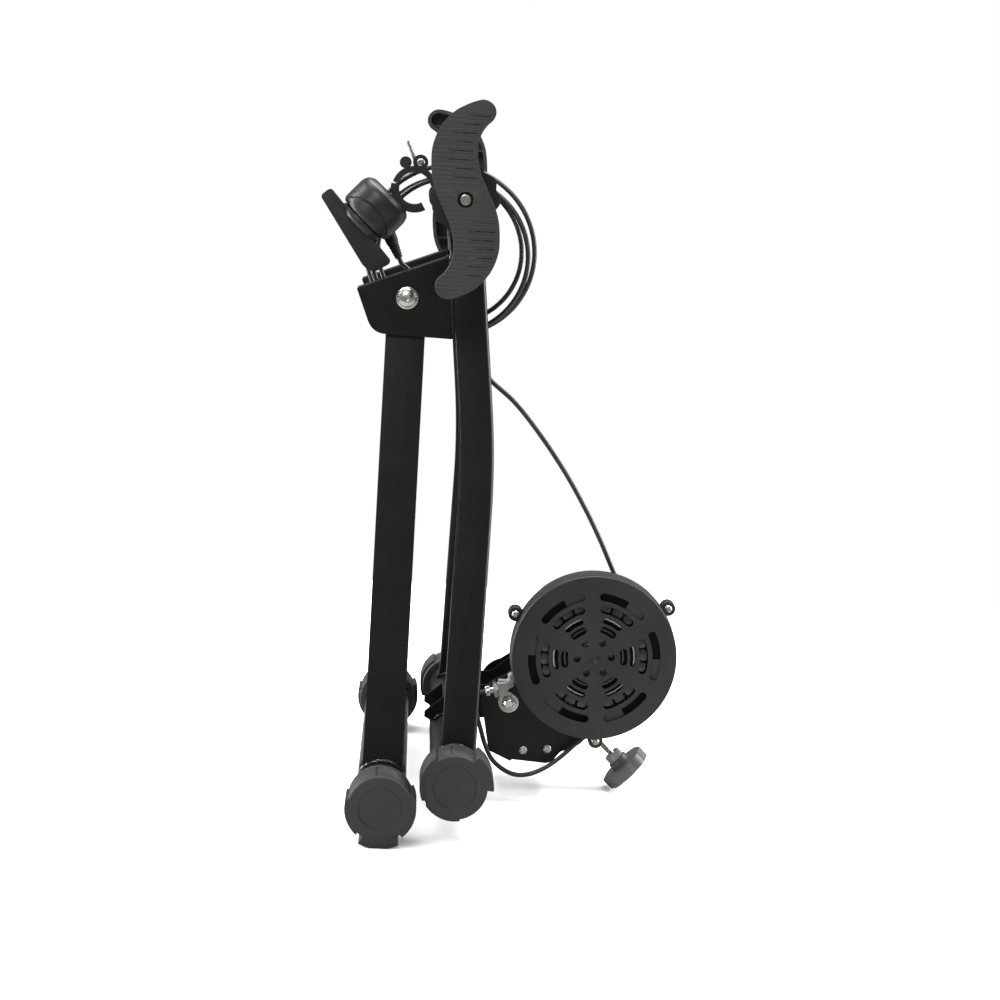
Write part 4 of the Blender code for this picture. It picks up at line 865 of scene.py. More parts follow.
def coil_point(turns):
    """A point on the coil, which spirals out on one layer and back in on the next."""
    half_way = COIL_TURNS / 2
    share = min(turns, COIL_TURNS - turns) / half_way
    radius = COIL_INNER + (COIL_OUTER - COIL_INNER) * share
    angle = math.radians(-90 + 360 * turns)
    climb = min(max((turns - half_way) / 0.5 + 0.5, 0), 1)
    x = COIL_CENTRE[0] + radius * math.cos(angle)
    z = COIL_CENTRE[1] + radius * math.sin(angle)
    y = COIL_HANG_Y - (x - CLAMP[0]) * COIL_SLANT + COIL_LAYER_STEP * (0.5 - climb)
    return Vector((x, y, z))


def coil_points(steps_per_turn):
    count = round(COIL_TURNS * steps_per_turn)
    turns = [coil_point(COIL_TURNS * index / count) for index in range(count + 1)]
    reach = 2 * CABLE_RADIUS
    start = turns[0] + (turns[0] - turns[1]).normalized() * reach
    end = turns[-1] + (turns[-1] - turns[-2]).normalized() * reach
    return [start, *turns, end]


def cord_route(start, start_axis, route, end, end_axis, spacing):
    """Evenly spaced points on a smooth route, with a short straight stretch at both ends."""
    stub = 2 * CABLE_RADIUS
    fine = 12
    line = spline_through([start, start + start_axis * stub, *route, end - end_axis * stub, end], fine)
    return [start, *evenly_spaced(line[fine:-fine], spacing), end]


def cable_path(spacing):
    """Boot, coil and the run behind the brake housing and round below it, as one line."""
    coil = coil_points(round(2 * math.pi * COIL_OUTER / spacing))
    inward = (coil[0] - coil[1]).normalized()
    outward = (coil[-1] - coil[-2]).normalized()
    lead = cord_route(BOOT_START + BOOT_AXIS * (BOOT_LENGTH + GAP), BOOT_AXIS, LEAD_ROUTE,
                      coil[0] + inward * GAP, -inward, spacing)
    run = cord_route(coil[-1] + outward * GAP, outward, RUN_ROUTE, ADJUSTER_START - ADJUSTER_AXIS * GAP,
                     ADJUSTER_AXIS, spacing)
    return [*lead, *coil, *run]


def cable_boot():
    """Ribbed rubber boot, tapering along the cable."""
    ribs = []
    for number in range(5):
        height = 9.5 + number * 2.1
        reach = 4.5 - number * 0.22
        ribs += [(reach, height, 0.4), (reach, height + 1.2, 0.4), (reach - 0.6, height + 1.5, 0.2),
                 (reach - 0.6, height + 1.9, 0.2)]
    profile = [(0, 0), (5.4, 0), (5.2, 7.0, 1.0), (4.8, 8.6, 0.4), *ribs, (3.3, BOOT_LENGTH - 1.6, 0.4),
               (3.0, BOOT_LENGTH, 0.5), (2.1, BOOT_LENGTH)]
    boot = lathe("boot", [*profile, (0, BOOT_LENGTH)], BOOT_START, BOOT_AXIS, steps=40)
    return fit(boot, "rear_frame", "boot", "cable_boot")


def cable(spacing, sides):
    """The remote's cable, from its boot through the hung coil to the adjuster on the unit."""
    path = cable_path(spacing)
    piece = tube("cable", path, CABLE_RADIUS, sides)
    piece.data.transform(TO_ROW)
    smooth(piece, 60)
    piece.data.materials.append(FINISHES["jacket"])
    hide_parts("cable_lead", "cable_coil", "cable_run")
    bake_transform(piece)
    cable_boot()


# Frame

def floor_tube(name, body, centre, radius, cap_face):
    half = cap_face - CAP_END_WALL - GAP
    bore = radius - TUBE_WALL
    profile = ((radius, -half, 0.5), (radius, half, 0.5), (bore, half, 0.3), (bore, -half, 0.3))
    piece = across(name, profile, centre, ring=True, steps=96)
    return fit(piece, body, "paint", name.replace("bar", "floor_tube"))


def lobe_arc(centre, start, end, radius, flat):
    """Edge of one levelling lobe; a flat one has a chord at that distance below its middle."""
    if not flat:
        return arc(centre, radius, start, end, max(4, round((end - start) / 3)))
    half = math.degrees(math.acos(flat / radius))
    middle = (start + end) / 2
    return arc(centre, radius, start, middle - half, 6) + arc(centre, radius, middle + half, end, 6)


def lobes_outline(centre, lobes):
    """Lobes in order of angle, with a plain rim inside the cap's wall between them."""
    outline = []
    for index, (start, end, radius, flat) in enumerate(lobes):
        outline += lobe_arc(centre, start, end, radius, flat)
        next_start = lobes[(index + 1) % len(lobes)][0]
        if next_start <= end:
            next_start += 360
        outline += arc(centre, CAP_RADIUS - 2, end, next_start, max(2, round((next_start - end) / 4)))
    return outline


def foot_cap(end, name, side, centre, tube_radius, face, lobes, depth_range):
    """Moulded cup with raised levelling lobes, a stepped mouth and a dished end."""
    rear = face - CAP_LENGTH
    bore = tube_radius + GAP
    profile = ((0, face), (CAP_RADIUS, face, 2.6), (CAP_RADIUS, rear + 4), (CAP_RADIUS - 0.7, rear + 3.2),
               (CAP_RADIUS - 0.7, rear, 0.8), (0, rear))
    cap = across(name + "_" + end + "_foot", profile, centre, side, steps=96)
    raised = prism("raised_lobes", [lobes_outline(centre, lobes)], side * (face - depth_range[0]),
                   side * (face - depth_range[1]))
    cap = combine(cap, "UNION", rounded_edges(raised, 1.0, 3, 50))
    dish = ((0, face - 1.2), (16.5, face - 1.2, 0.8), (17.8, face + 0.5), (0, face + 0.5))
    slit = polar(centre, CAP_RADIUS, SLIT_ANGLE)
    cap = combine(cap, "DIFFERENCE", across("dish", dish, centre, side, steps=96),
                  cross_hole("tube_seat", centre, side, rear - 1, face - CAP_END_WALL, bore, 96),
                  cross_hole("slit", slit, side, rear - 1, face - 3, 0.9, 20))
    return fit(cap, name + "_" + end + "_foot", "cap", name + "_" + end + "_cap")


def weld_bead(name, centre, radius, base, along, half_width, side, y_at, z_at, slope):
    """Painted bead round the end of a leg that meets a cross tube."""
    across_leg = Vector((along.y, -along.x))
    corners = [(*point, LEG_EDGE) for point in oblong(half_width, LEG_DEPTH / 2)]
    outline = [Vector((*point, 0)) for point in softened(corners)]
    ring = evenly_spaced([*outline, outline[0]], BEAD_STEP)[:-1]
    reach = radius + LEG_BEAD_STANDOFF
    offset = Vector(base) - Vector(centre)
    points = []
    for place in ring:
        flat = offset + across_leg * place.x * LEG_BEAD_SPREAD[0]
        ahead = flat.dot(along)
        travel = -ahead + math.sqrt(max(ahead * ahead - flat.length_squared + reach * reach, 0))
        edge = Vector(centre) + flat + along * travel
        y = side * (y_at + slope * (z_at - edge.y)) + place.y * LEG_BEAD_SPREAD[1]
        points.append(spot(edge, y))
    return bead_tube(name, points, LEG_BEAD_RADIUS, 0.13, True)


def front_leg(name, side):
    """Straight leg, cut to the floor tube below and rounded about the hinge bolt above."""
    foot = Vector(FRONT_TUBE)
    along = (Vector(HINGE) - foot).normalized()
    half = Vector((along.y, -along.x)) * FRONT_LEG_WIDTH / 2
    heading = math.degrees(math.atan2(along.y, along.x))
    outline = [tuple(foot - half), tuple(foot + half)]
    outline += arc(HINGE, FRONT_LEG_WIDTH / 2, heading - 90, heading + 90, 32)
    leg = prism(name + "_front_upright", [outline], -LEG_DEPTH / 2, LEG_DEPTH / 2)
    slope = (FRONT_LEG_FOOT_Y - HINGE_Y) / (HINGE[1] - FRONT_TUBE[1])
    lean(leg, side, HINGE_Y, HINGE[1], slope)
    leg = rounded_edges(leg, LEG_EDGE, 5)
    leg = combine(leg, "DIFFERENCE",
                  cross_hole("coping", FRONT_TUBE, side, 90, 200, FRONT_TUBE_RADIUS + GAP, 96),
                  cross_hole("bolt_hole", HINGE, side, 50, 130, HINGE_BOLT_RADIUS + GAP))
    fit(leg, "front_frame", "paint", name + "_front_leg")
    bead = weld_bead(name + "_front_weld", FRONT_TUBE, FRONT_TUBE_RADIUS, foot, along,
                     FRONT_LEG_WIDTH / 2, side, HINGE_Y, HINGE[1], slope)
    fit(bead, "front_frame", "bead")


def rear_leg_path():
    """Centreline of the rear leg in the (x, z) plane, with its gentle bend."""
    foot = Vector((REAR_LEG_FOOT_X, REAR_TUBE[1]))
    knee = Vector(REAR_LEG_KNEE)
    top = Vector(CLAMP)
    start = knee + (foot - knee).normalized() * KNEE_TANGENT
    end = knee + (top - knee).normalized() * KNEE_TANGENT
    shares = [index / 12 for index in range(13)]
    return [foot, *[start.lerp(knee, t).lerp(knee.lerp(end, t), t) for t in shares], top]


def ribbon(path, half_width):
    """Closed outline on both sides of a centreline."""
    right = []
    left = []
    for index, point in enumerate(path):
        before = path[max(index - 1, 0)]
        after = path[min(index + 1, len(path) - 1)]
        along = (after - before).normalized()
        offset = Vector((along.y, -along.x)) * half_width
        right.append(tuple(point + offset))
        left.append(tuple(point - offset))
    return right + left[::-1]


REAR_SLOPE = (REAR_LEG_FOOT_Y - REAR_LEG_TOP_Y) / (CLAMP[1] - REAR_TUBE[1])


def rear_leg_form(name, side, grow=0.0):
    half_depth = LEG_DEPTH / 2 + grow
    leg = prism(name, [ribbon(rear_leg_path(), REAR_LEG_WIDTH / 2 + grow)], -half_depth, half_depth)
    lean(leg, side, REAR_LEG_TOP_Y, CLAMP[1], REAR_SLOPE)
    return leg


def rear_leg(name, side):
    """Bent leg between the rear floor tube and the clamp's sleeve, with a bead at both ends."""
    leg = rounded_edges(rear_leg_form(name + "_rear_upright", side), LEG_EDGE, 5)
    leg = combine(leg, "DIFFERENCE",
                  cross_hole("coping", REAR_TUBE, side, 90, 200, REAR_TUBE_RADIUS + GAP, 96),
                  cross_hole("sleeve_seat", CLAMP, side, 50, 130, SLEEVE_RADIUS + GAP, 96))
    fit(leg, "rear_frame", "paint", name + "_rear_leg")
    path = rear_leg_path()
    ends = ((REAR_TUBE, REAR_TUBE_RADIUS, path[0], path[1] - path[0]),
            (CLAMP, SLEEVE_RADIUS, path[-1], path[-2] - path[-1]))
    beads = [weld_bead("bead", centre, radius, base, along.normalized(), REAR_LEG_WIDTH / 2, side,
                       REAR_LEG_TOP_Y, CLAMP[1], REAR_SLOPE) for centre, radius, base, along in ends]
    fit(joined(name + "_rear_welds", beads), "rear_frame", "bead")


def inner_corner(before, corner, after, depth):
    """Point inside a corner at the same distance from both of its edges."""
    one = (Vector(before) - Vector(corner)).normalized()
    two = (Vector(after) - Vector(corner)).normalized()
    spread = abs(one.x * two.y - one.y * two.x)
    return Vector(corner) + (one + two) * depth / spread, one, two


def hinge_bracket(name, side):
    """Folded channel: web above, back wall against the rear leg, open below and in front."""
    outline = softened([(*BRACKET_TIP, 0.8), (*BRACKET_TOP, 3), (*BRACKET_HEEL, 3),
                        (*BRACKET_TOE, BRACKET_TOE_CUT)], 8)
    middle = HINGE_Y + BRACKET_OFFSET
    half = BRACKET_INNER / 2
    bracket = prism(name + "_bracket", [outline], side * (middle - half - BRACKET_WALL),
                    side * (middle + half + BRACKET_WALL))
    bracket = rounded_edges(bracket, 1.6, 4)
    corner, to_tip, to_heel = inner_corner(BRACKET_TIP, BRACKET_TOP, BRACKET_HEEL, BRACKET_WALL)
    reach = 120.0
    room = [corner, corner + to_heel * reach, corner + (to_heel + to_tip) * reach,
            corner + to_tip * reach]
    bracket = combine(bracket, "DIFFERENCE",
                      prism("room", [[tuple(point) for point in room]], side * (middle - half),
                            side * (middle + half)),
                      rear_leg_form("leg_clearance", side, GAP),
                      cross_hole("bolt_hole", HINGE, side, 50, 130, HINGE_BOLT_RADIUS + GAP))
    fit(bracket, "rear_frame", "paint", name + "_hinge_bracket")
    beads = []
    for wall in (middle - half - BRACKET_WALL, middle + half + BRACKET_WALL):
        ends = [spot((BRACKET_TOP[0] + 0.7, BRACKET_TOP[1] - 4), side * wall),
                spot((BRACKET_HEEL[0] - 0.3, BRACKET_HEEL[1] + 4), side * wall)]
        beads.append(bead_tube("bead", evenly_spaced(ends, BEAD_STEP), BRACKET_BEAD_RADIUS))
    fit(joined(name + "_bracket_welds", beads), "rear_frame", "bead")


def hinge_bolt(name, side):
    """Bolt with a wide shallow dome and a step round it, head outside."""
    face = HINGE_Y + BRACKET_OFFSET + BRACKET_INNER / 2 + BRACKET_WALL + GAP
    end = HINGE_Y + BRACKET_OFFSET - BRACKET_INNER / 2 - BRACKET_WALL - 10
    bolt = HINGE_BOLT_RADIUS
    head = HINGE_HEAD_RADIUS
    profile = [(0, end), (bolt, end, 0.6), (bolt, face), (head, face, 0.3), (head, face + 1.4, 0.5),
               (head - 1.6, face + 2.0, 0.4), (head - 2.1, face + 2.9, 0.5), (4.5, face + 4.6, 2.0),
               (2.2, face + 5.0, 1.0), (1.6, face + 4.6, 0.3), (0, face + 4.6)]
    piece = across(name + "_hinge_pin", profile, HINGE, side, steps=64)
    fit(piece, "rear_frame", "plated", name + "_hinge_bolt")


def hex_nut(name, start, axis, flats, height, bore, spin=0.0):
    """A hexagon nut whose corners are turned off at both ends."""
    blank = extruded(name, [hexagon(flats)], start, axis, height, spin)
    reach = flats / math.sqrt(3)
    cone = [(0, 0), (flats / 2, 0), (reach, (reach - flats / 2) * 0.6),
            (reach, height - (reach - flats / 2) * 0.6), (flats / 2, height), (0, height)]
    blank = combine(blank, "INTERSECT", lathe("corners", cone, start, axis, steps=96))
    along = Vector(axis).normalized()
    hole = rod("bore", Vector(start) - along, Vector(start) + along * (height + 1), bore)
    return combine(blank, "DIFFERENCE", hole)


def hinge_nut(name, side):
    face = HINGE_Y + BRACKET_OFFSET - BRACKET_INNER / 2 - BRACKET_WALL - GAP
    nut = hex_nut(name + "_hinge_hex", spot(HINGE, side * face), (0, -side, 0), HEX_FLATS, 6.5,
                  HINGE_BOLT_RADIUS + GAP)
    fit(nut, "rear_frame", "plated", name + "_hinge_nut")


def clamp_sleeve(name, side):
    """Guide tube of the spindle, welded on the rear leg's top."""
    bore = SPINDLE_RADIUS + GAP
    profile = ((SLEEVE_RADIUS, SLEEVE_INNER_END, 0.8), (SLEEVE_RADIUS, SLEEVE_OUTER_END, 0.8),
               (bore, SLEEVE_OUTER_END, 0.4), (bore, SLEEVE_INNER_END, 0.4))
    piece = across(name + "_guide_tube", profile, CLAMP, side, ring=True, steps=96)
    fit(piece, "rear_frame", "paint", name + "_clamp_sleeve")


# Wheel clamp

def spindle(name, side):
    """Screwed bar with a conical cup in its inner end."""
    body = name + "_clamp_spindle"
    length = SPINDLE_OUTER_END - SPINDLE_INNER_END
    start = spot(CLAMP, side * SPINDLE_INNER_END)
    axis = Vector((0, side, 0))
    bar = threaded(name + "_screwed_bar", start, axis, SPINDLE_RADIUS, length, SPINDLE_PITCH, 1.1, 48, 8)
    cup = [(0, -1), (CUP_RADIUS + 0.5, -1), (CUP_RADIUS, 0), (2.0, CUP_DEPTH), (0, CUP_DEPTH)]
    hole_end = GRIP_INNER_FACE + GRIP_THICKNESS - GRIP_RECESS[1] - GRIP_SCREW_LENGTH - 1
    bar = combine(bar, "DIFFERENCE", lathe("cup", cup, start, axis),
                  cross_hole("screw_hole", CLAMP, side, hole_end, SPINDLE_OUTER_END + 1,
                             GRIP_SCREW_RADIUS + GAP))
    fit(bar, body, "spindle", name + "_spindle")


def lobed_outline(radius, depth, lobes):
    """A scalloped circle with rounded lobes."""
    count = lobes * STEPS_PER_LOBE
    outline = []
    for index in range(count):
        angle = 2 * math.pi * index / count
        reach = radius - depth * (0.5 - 0.5 * math.cos(lobes * angle)) ** 2
        outline.append((reach * math.cos(angle), reach * math.sin(angle)))
    return outline


def lock_ring(name, side):
    """Scalloped hand ring with softened lobes."""
    loops = [lobed_outline(LOCK_RING_RADIUS, 2.2, LOCK_RING_LOBES), circle(SPINDLE_RADIUS + GAP)]
    start = spot(CLAMP, side * (SLEEVE_OUTER_END + GAP))
    ring = extruded(name + "_hand_ring", loops, start, (0, side, 0), LOCK_RING_THICKNESS)
    ring = rounded_edges(ring, 1.6, 3, 60)
    fit(ring, name + "_clamp_ring", "ring", name + "_lock_ring")


def grip_outline(turn, side):
    """S shape: one edge from tip to tip, and the same edge turned half round; both sides' grips are alike."""
    edge = [Vector((-side * x, z)) for x, z in GRIP_EDGE]
    edge = edge + [-point for point in edge]
    spin = Matrix.Rotation(math.radians(turn), 2)
    centre = Vector(CLAMP)
    return [tuple(centre + spin @ point) for point in spline_through(edge, 4, closed=True)]


def inset(outline, depth):
    """A smooth closed outline moved inwards."""
    points = [Vector(point) for point in outline]
    area = sum(a.cross(b) for a, b in zip(points, points[1:] + points[:1]))
    moved = []
    for before, point, after in zip(points[-1:] + points, points, points[1:] + points[:1]):
        along = (after - before).normalized()
        inwards = Vector((-along.y, along.x)) * (1 if area > 0 else -1)
        moved.append(tuple(point + inwards * depth))
    return moved


def span_at(outline, height):
    """Lowest and highest x where a level line crosses an outline."""
    hits = []
    for (x1, z1), (x2, z2) in zip(outline, outline[1:] + outline[:1]):
        if (z1 - height) * (z2 - height) < 0:
            hits.append(x1 + (x2 - x1) * (height - z1) / (z2 - z1))
    return min(hits), max(hits)


def groove(side, x_from, x_to, height, face, depth):
    """A cutter for one grip line: full depth at its right end, running out to the left."""
    form = bmesh.new()
    out = side * (face + 0.5)
    ends = []
    for x, reach, half in ((x_from, 0.05, 0.2), (x_from * 0.45 + x_to * 0.55, depth, 0.7),
                           (x_to, depth, 0.7)):
        y = side * (face - reach)
        ends.append([form.verts.new((x, out, height + half)), form.verts.new((x, out, height - half)),
                     form.verts.new((x, y, height))])
    for low, high in zip(ends, ends[1:]):
        for index in range(3):
            after = (index + 1) % 3
            form.faces.new((low[index], low[after], high[after], high[index]))
    form.faces.new(ends[0])
    form.faces.new(ends[-1])
    return from_form("groove", form)


def plus_outline(reach, half):
    """A cross with arms of equal length."""
    corner = [(reach, half), (half, half), (half, reach)]
    outline = []
    for quarter in range(4):
        spin = Matrix.Rotation(math.radians(90 * quarter), 2)
        outline += [tuple(spin @ Vector(point)) for point in corner]
    return outline


def cross_screw(name, place, axis, radius, height, shank, length, spin):
    """Pan-headed screw with a cross recess; the place is the middle of the head's underside."""
    profile = [(0, -length), (shank, -length, 0.3), (shank, 0), (radius, 0, 0.2),
               (radius, height * 0.4, 0.5), (radius * 0.72, height * 0.86, 0.6), (0, height)]
    head = lathe(name, profile, place, axis, steps=56)
    along = Vector(axis).normalized()
    cross = extruded("cross", [plus_outline(radius * 0.66, radius * 0.17)],
                     Vector(place) + along * height * 0.1, axis, height, spin)
    return combine(head, "DIFFERENCE", cross)


def grip_bumps(side, outer, turn):
    """Two soft swellings beside the screw's recess."""
    profile = [(0, -2), (5.2, -2), (5.2, -0.2, 0.4), (3.4, 0.55, 1.2), (0, 0.8)]
    spin = Matrix.Rotation(math.radians(turn), 2)
    bumps = []
    for offset in (-9.5, 9.5):
        place = Vector(CLAMP) + spin @ Vector((offset, 3.5))
        bumps.append(lathe("bump", profile, spot(place, side * outer), (0, side, 0), steps=40))
    return bumps


def handle(name, side):
    """Moulded S grip: grooved face, ribbed hollow back, hub over the spindle's end and a screw recess."""
    outer = GRIP_INNER_FACE + GRIP_THICKNESS
    outline = grip_outline(GRIP_TURN[name], side)
    grip = prism(name + "_grip", [outline], side * GRIP_INNER_FACE, side * outer)
    grip = rounded_edges(grip, GRIP_ROUNDING, 5)
    hollow = prism("hollow", [inset(outline, GRIP_WALL)], side * (GRIP_INNER_FACE - 1),
                   side * (outer - GRIP_SKIN))
    ribs = [extruded("rib", [oblong(GRIP_RIB_REACH, GRIP_RIB_HALF)],
                     (CLAMP[0], side * (GRIP_INNER_FACE + 2.5), CLAMP[1] + height), (0, side, 0), 20)
            for height in range(-GRIP_RIB_REACH, GRIP_RIB_REACH + 1, GRIP_RIB_STEP)]
    hollow = combine(hollow, "DIFFERENCE", joined("ribs", ribs))
    grip = combine(grip, "DIFFERENCE", hollow)
    hub = cross_hole("hub", CLAMP, side, GRIP_INNER_FACE - GRIP_HUB_LENGTH, outer - 3,
                     GRIP_HUB_RADIUS, 72)
    grip = combine(grip, "UNION", hub, *grip_bumps(side, outer, GRIP_TURN[name]))
    pocket_end = SPINDLE_OUTER_END + GAP
    tools = [cross_hole("pocket", CLAMP, side, GRIP_INNER_FACE - GRIP_HUB_LENGTH - 5, pocket_end,
                        SPINDLE_RADIUS + GAP),
             cross_hole("screw_hole", CLAMP, side, pocket_end - 3, outer + 5, GRIP_SCREW_RADIUS + GAP),
             cross_hole("recess", CLAMP, side, outer - GRIP_RECESS[1], outer + 5, GRIP_RECESS[0])]
    grip = combine(grip, "DIFFERENCE", *tools)
    lines = []
    for number in range(-LAST_GROOVE, LAST_GROOVE + 1):
        height = CLAMP[1] + GROOVE_START + number * GROOVE_STEP
        if abs(height - CLAMP[1]) < GROOVE_CLEAR_OF_SCREW:
            continue
        low, high = span_at(outline, height)
        share = (0.3, 0.14, 0.22)[number % 3]
        lines.append(groove(side, low + (high - low) * share, high - GROOVE_EDGE, height, outer,
                            GROOVE_DEPTH))
    grip = combine(grip, "DIFFERENCE", joined("grooves", lines))
    fit(grip, name + "_clamp_handle", "grip", name + "_handle")


def handle_screw(name, side):
    outer = GRIP_INNER_FACE + GRIP_THICKNESS
    seat = outer - GRIP_RECESS[1] + GAP
    screw = cross_screw(name + "_grip_screw", spot(CLAMP, side * seat), (0, side, 0),
                        GRIP_RECESS[0] - 0.8, 3.6, GRIP_SCREW_RADIUS, GRIP_SCREW_LENGTH, 24)
    fit(screw, name + "_clamp_handle", "plated", name + "_handle_screw")


# Saddle and pivot

def unit_saddle():
    """Folded bracket over the rear floor tube: two cheeks, a top web, pivot collars and ears."""
    inner = SADDLE_OUTER - SADDLE_WALL
    outline = [(39.3, 60.0), *arc(PIVOT, 14.0, -70, 0, 12), (118.5, 86.0), *arc(TRUNNION, 11.0, 20, 175, 24),
               (90.2, 93.6), (80.0, 93.1), (48.2, 80.8), (33.0, 68.0), (33.0, 63.5)]
    web = [(48.2, 80.8), (80.0, 93.1), (81.1, 90.3), (49.3, 78.0)]
    saddle = prism("folded_saddle", [web], -inner - 1, inner + 1)
    bushing = UNIT_PLATE_OUTER - UNIT_PLATE_WALL - GAP
    parts = []
    for _, side in SIDES:
        parts.append(prism("cheek", [outline], side * inner, side * SADDLE_OUTER))
        parts.append(cross_hole("collar", PIVOT, side, inner + 1, bushing, PIVOT_COLLAR_RADIUS))
    saddle = combine(saddle, "UNION", *parts)
    saddle = combine(saddle, "DIFFERENCE",
                     cross_hole("tube_seat", REAR_TUBE, 1, -50, 50, REAR_TUBE_RADIUS + GAP, 96),
                     cross_hole("pivot_hole", PIVOT, 1, -50, 50, PIVOT_BOLT_RADIUS + GAP),
                     cross_hole("trunnion_hole", TRUNNION, 1, -50, 50, TRUNNION_PIN_RADIUS + GAP))
    fit(rounded_edges(saddle, 0.7, 3), "rear_frame", "paint", "unit_saddle")
    beads = []
    for _, side in SIDES:
        ring = arc(REAR_TUBE, REAR_TUBE_RADIUS + 1.0, 24, 140, 40)
        points = [spot(point, side * (SADDLE_OUTER + 0.4)) for point in ring]
        beads.append(bead_tube("bead", evenly_spaced(points, 1.3), SADDLE_BEAD_RADIUS))
    fit(joined("saddle_welds", beads), "rear_frame", "bead")


def pivot_bolt():
    face = UNIT_PLATE_OUTER + GAP
    shank = [(0, -52), (3.4, -52), (PIVOT_BOLT_RADIUS, -51.2), (PIVOT_BOLT_RADIUS, face + 2), (0, face + 2)]
    bolt = across("unit_pivot_pin", shank, PIVOT)
    seat = spot(PIVOT, face)
    head = extruded("head", [hexagon(HEX_FLATS)], seat, (0, 1, 0), 5.5, 10)
    reach = HEX_FLATS / math.sqrt(3)
    cone = [(0, -0.1), (reach, -0.1), (reach, 4.3), (HEX_FLATS / 2 - 0.4, 5.5), (0, 5.5)]
    head = combine(head, "INTERSECT", lathe("cone", cone, seat, (0, 1, 0), steps=96))
    bolt = combine(bolt, "UNION", head)
    fit(bolt, "rear_frame", "plated", "unit_pivot_bolt")


def pivot_nut():
    """Flange nut on the pivot bolt."""
    face = UNIT_PLATE_OUTER + GAP
    bore = PIVOT_BOLT_RADIUS + GAP
    flange = ((8.8, face, 0.2), (8.8, face + 1.8, 0.5), (7.2, face + 2.0, 0.3), (7.0, face + 0.5),
              (bore, face + 0.5), (bore, face))
    nut = across("unit_pivot_hex", flange, PIVOT, -1, ring=True)
    nut = combine(nut, "UNION", hex_nut("hex", spot(PIVOT, -face - 0.3), (0, -1, 0), 10.6, 7.7, bore, 10))
    fit(nut, "rear_frame", "plated", "unit_pivot_nut")


# Resistance unit

def unit_plate_outline():
    """Side plate: round about the pivot, toothed foot, wedge, and round about the roller."""
    edge = [(89.3, 38.5, 1), (106.0, 31.0, 1), (108.2, 30.0, 0.6), (109.6, 31.5, 0.6), (138.8, 29.4, 1),
            (144.0, 31.1, 1.5), (150.5, 39.7, 2), (167.2, 46.6, 5), (178.0, 62.0, 8)]
    return softened([*arc(PIVOT, 23.0, 105, 200, 24), *edge, *arc(ROLLER, 19.5, -12, 105, 28)])


def plate_screws():
    """Two pan-headed screws low on the near side plate."""
    screws = [cross_screw("screw", (x, -UNIT_PLATE_OUTER + 0.2, z), (0, -1, 0), 3.75, 2.3, 2.0, 3.0, spin)
              for x, z, spin in ((118.7, 39.9, 12), (139.2, 42.0, 50))]
    fit(joined("plate_screws", screws), "resistance_unit", "plated")


def unit_frame():
    """Two side plates joined by a foot web and by the crossplate that the tension screw works in."""
    inner = UNIT_PLATE_OUTER - UNIT_PLATE_WALL
    foot = prism("unit_body", [[(111.0, 31.3), (138.5, 29.4), (138.7, 32.4), (111.2, 34.3)]],
                 -inner - 1, inner + 1)
    middle = along_tension(CROSSPLATE_AT)
    parts = [extruded("crossplate", [oblong(inner + 1, 11)], middle - TENSION_AXIS * 1.5, TENSION_AXIS,
                      3.0)]
    for _, side in SIDES:
        parts.append(prism("plate", [unit_plate_outline()], side * inner, side * UNIT_PLATE_OUTER))
        parts.append(cross_hole("boss", ROLLER, side, *BEARING_BOSS, BEARING_BOSS_RADIUS, 96))
    foot = combine(foot, "UNION", *parts)
    foot = combine(foot, "DIFFERENCE",
                   cross_hole("bearing_bore", ROLLER, 1, -60, 60, BEARING_RADIUS + GAP, 96),
                   cross_hole("pivot_hole", PIVOT, 1, -60, 60, PIVOT_BOLT_RADIUS + GAP),
                   rod("screw_hole", middle - TENSION_AXIS * 6, middle + TENSION_AXIS * 6,
                       TENSION_RADIUS + 1.6))
    foot = rounded_edges(foot, 0.8, 3)
    fit(foot, "resistance_unit", "paint", "unit_frame")
    plate_screws()


def bearing(name, side):
    """Ball bearing with both race rims and a recessed shield."""
    start = BEARING_BOSS[0] + 0.6
    end = start + BEARING_WIDTH
    inner = SHAFT_RADIUS + GAP
    profile = ((BEARING_RADIUS, start, 0.4), (BEARING_RADIUS, end, 0.4), (BEARING_RADIUS - 2.2, end, 0.2),
               (BEARING_RADIUS - 2.4, end - 0.6), (inner + 2.0, end - 0.6), (inner + 1.8, end, 0.2),
               (inner, end, 0.3), (inner, start, 0.3), (inner + 1.8, start, 0.2),
               (inner + 2.0, start + 0.6), (BEARING_RADIUS - 2.4, start + 0.6),
               (BEARING_RADIUS - 2.2, start, 0.2))
    piece = across(name + "_ball_bearing", profile, ROLLER, side, ring=True)
    fit(piece, "resistance_unit", "plated", name + "_bearing")


def roller():
    """Steel roller with fine grooves turned along its face."""
    half = ROLLER_HALF_LENGTH
    bore = SHAFT_RADIUS + GAP
    grooves = []
    for number in range(-12, 13):
        place = number * 2.2
        grooves += [(ROLLER_RADIUS, place - 0.5), (ROLLER_RADIUS - 0.35, place), (ROLLER_RADIUS, place + 0.5)]
    profile = [(bore, -half), (ROLLER_RADIUS - 1.5, -half), (ROLLER_RADIUS, -half + 1.5, 0.4), *grooves,
               (ROLLER_RADIUS, half - 1.5, 0.4), (ROLLER_RADIUS - 1.5, half), (bore, half)]
    piece = across("tyre_roller", profile, ROLLER, ring=True, steps=96)
    fit(piece, "roller_assembly", "roller", "roller")


def roller_shaft():
    ends = (SHAFT_END, FLYWHEEL[1] + 9)
    profile = ((0, ends[0]), (SHAFT_RADIUS, ends[0], 0.8), (SHAFT_RADIUS, ends[1], 0.8), (2.2, ends[1], 0.3),
               (0, ends[1] - 2.0))
    piece = across("turned_shaft", profile, ROLLER)
    fit(piece, "roller_assembly", "roller", "roller_shaft")


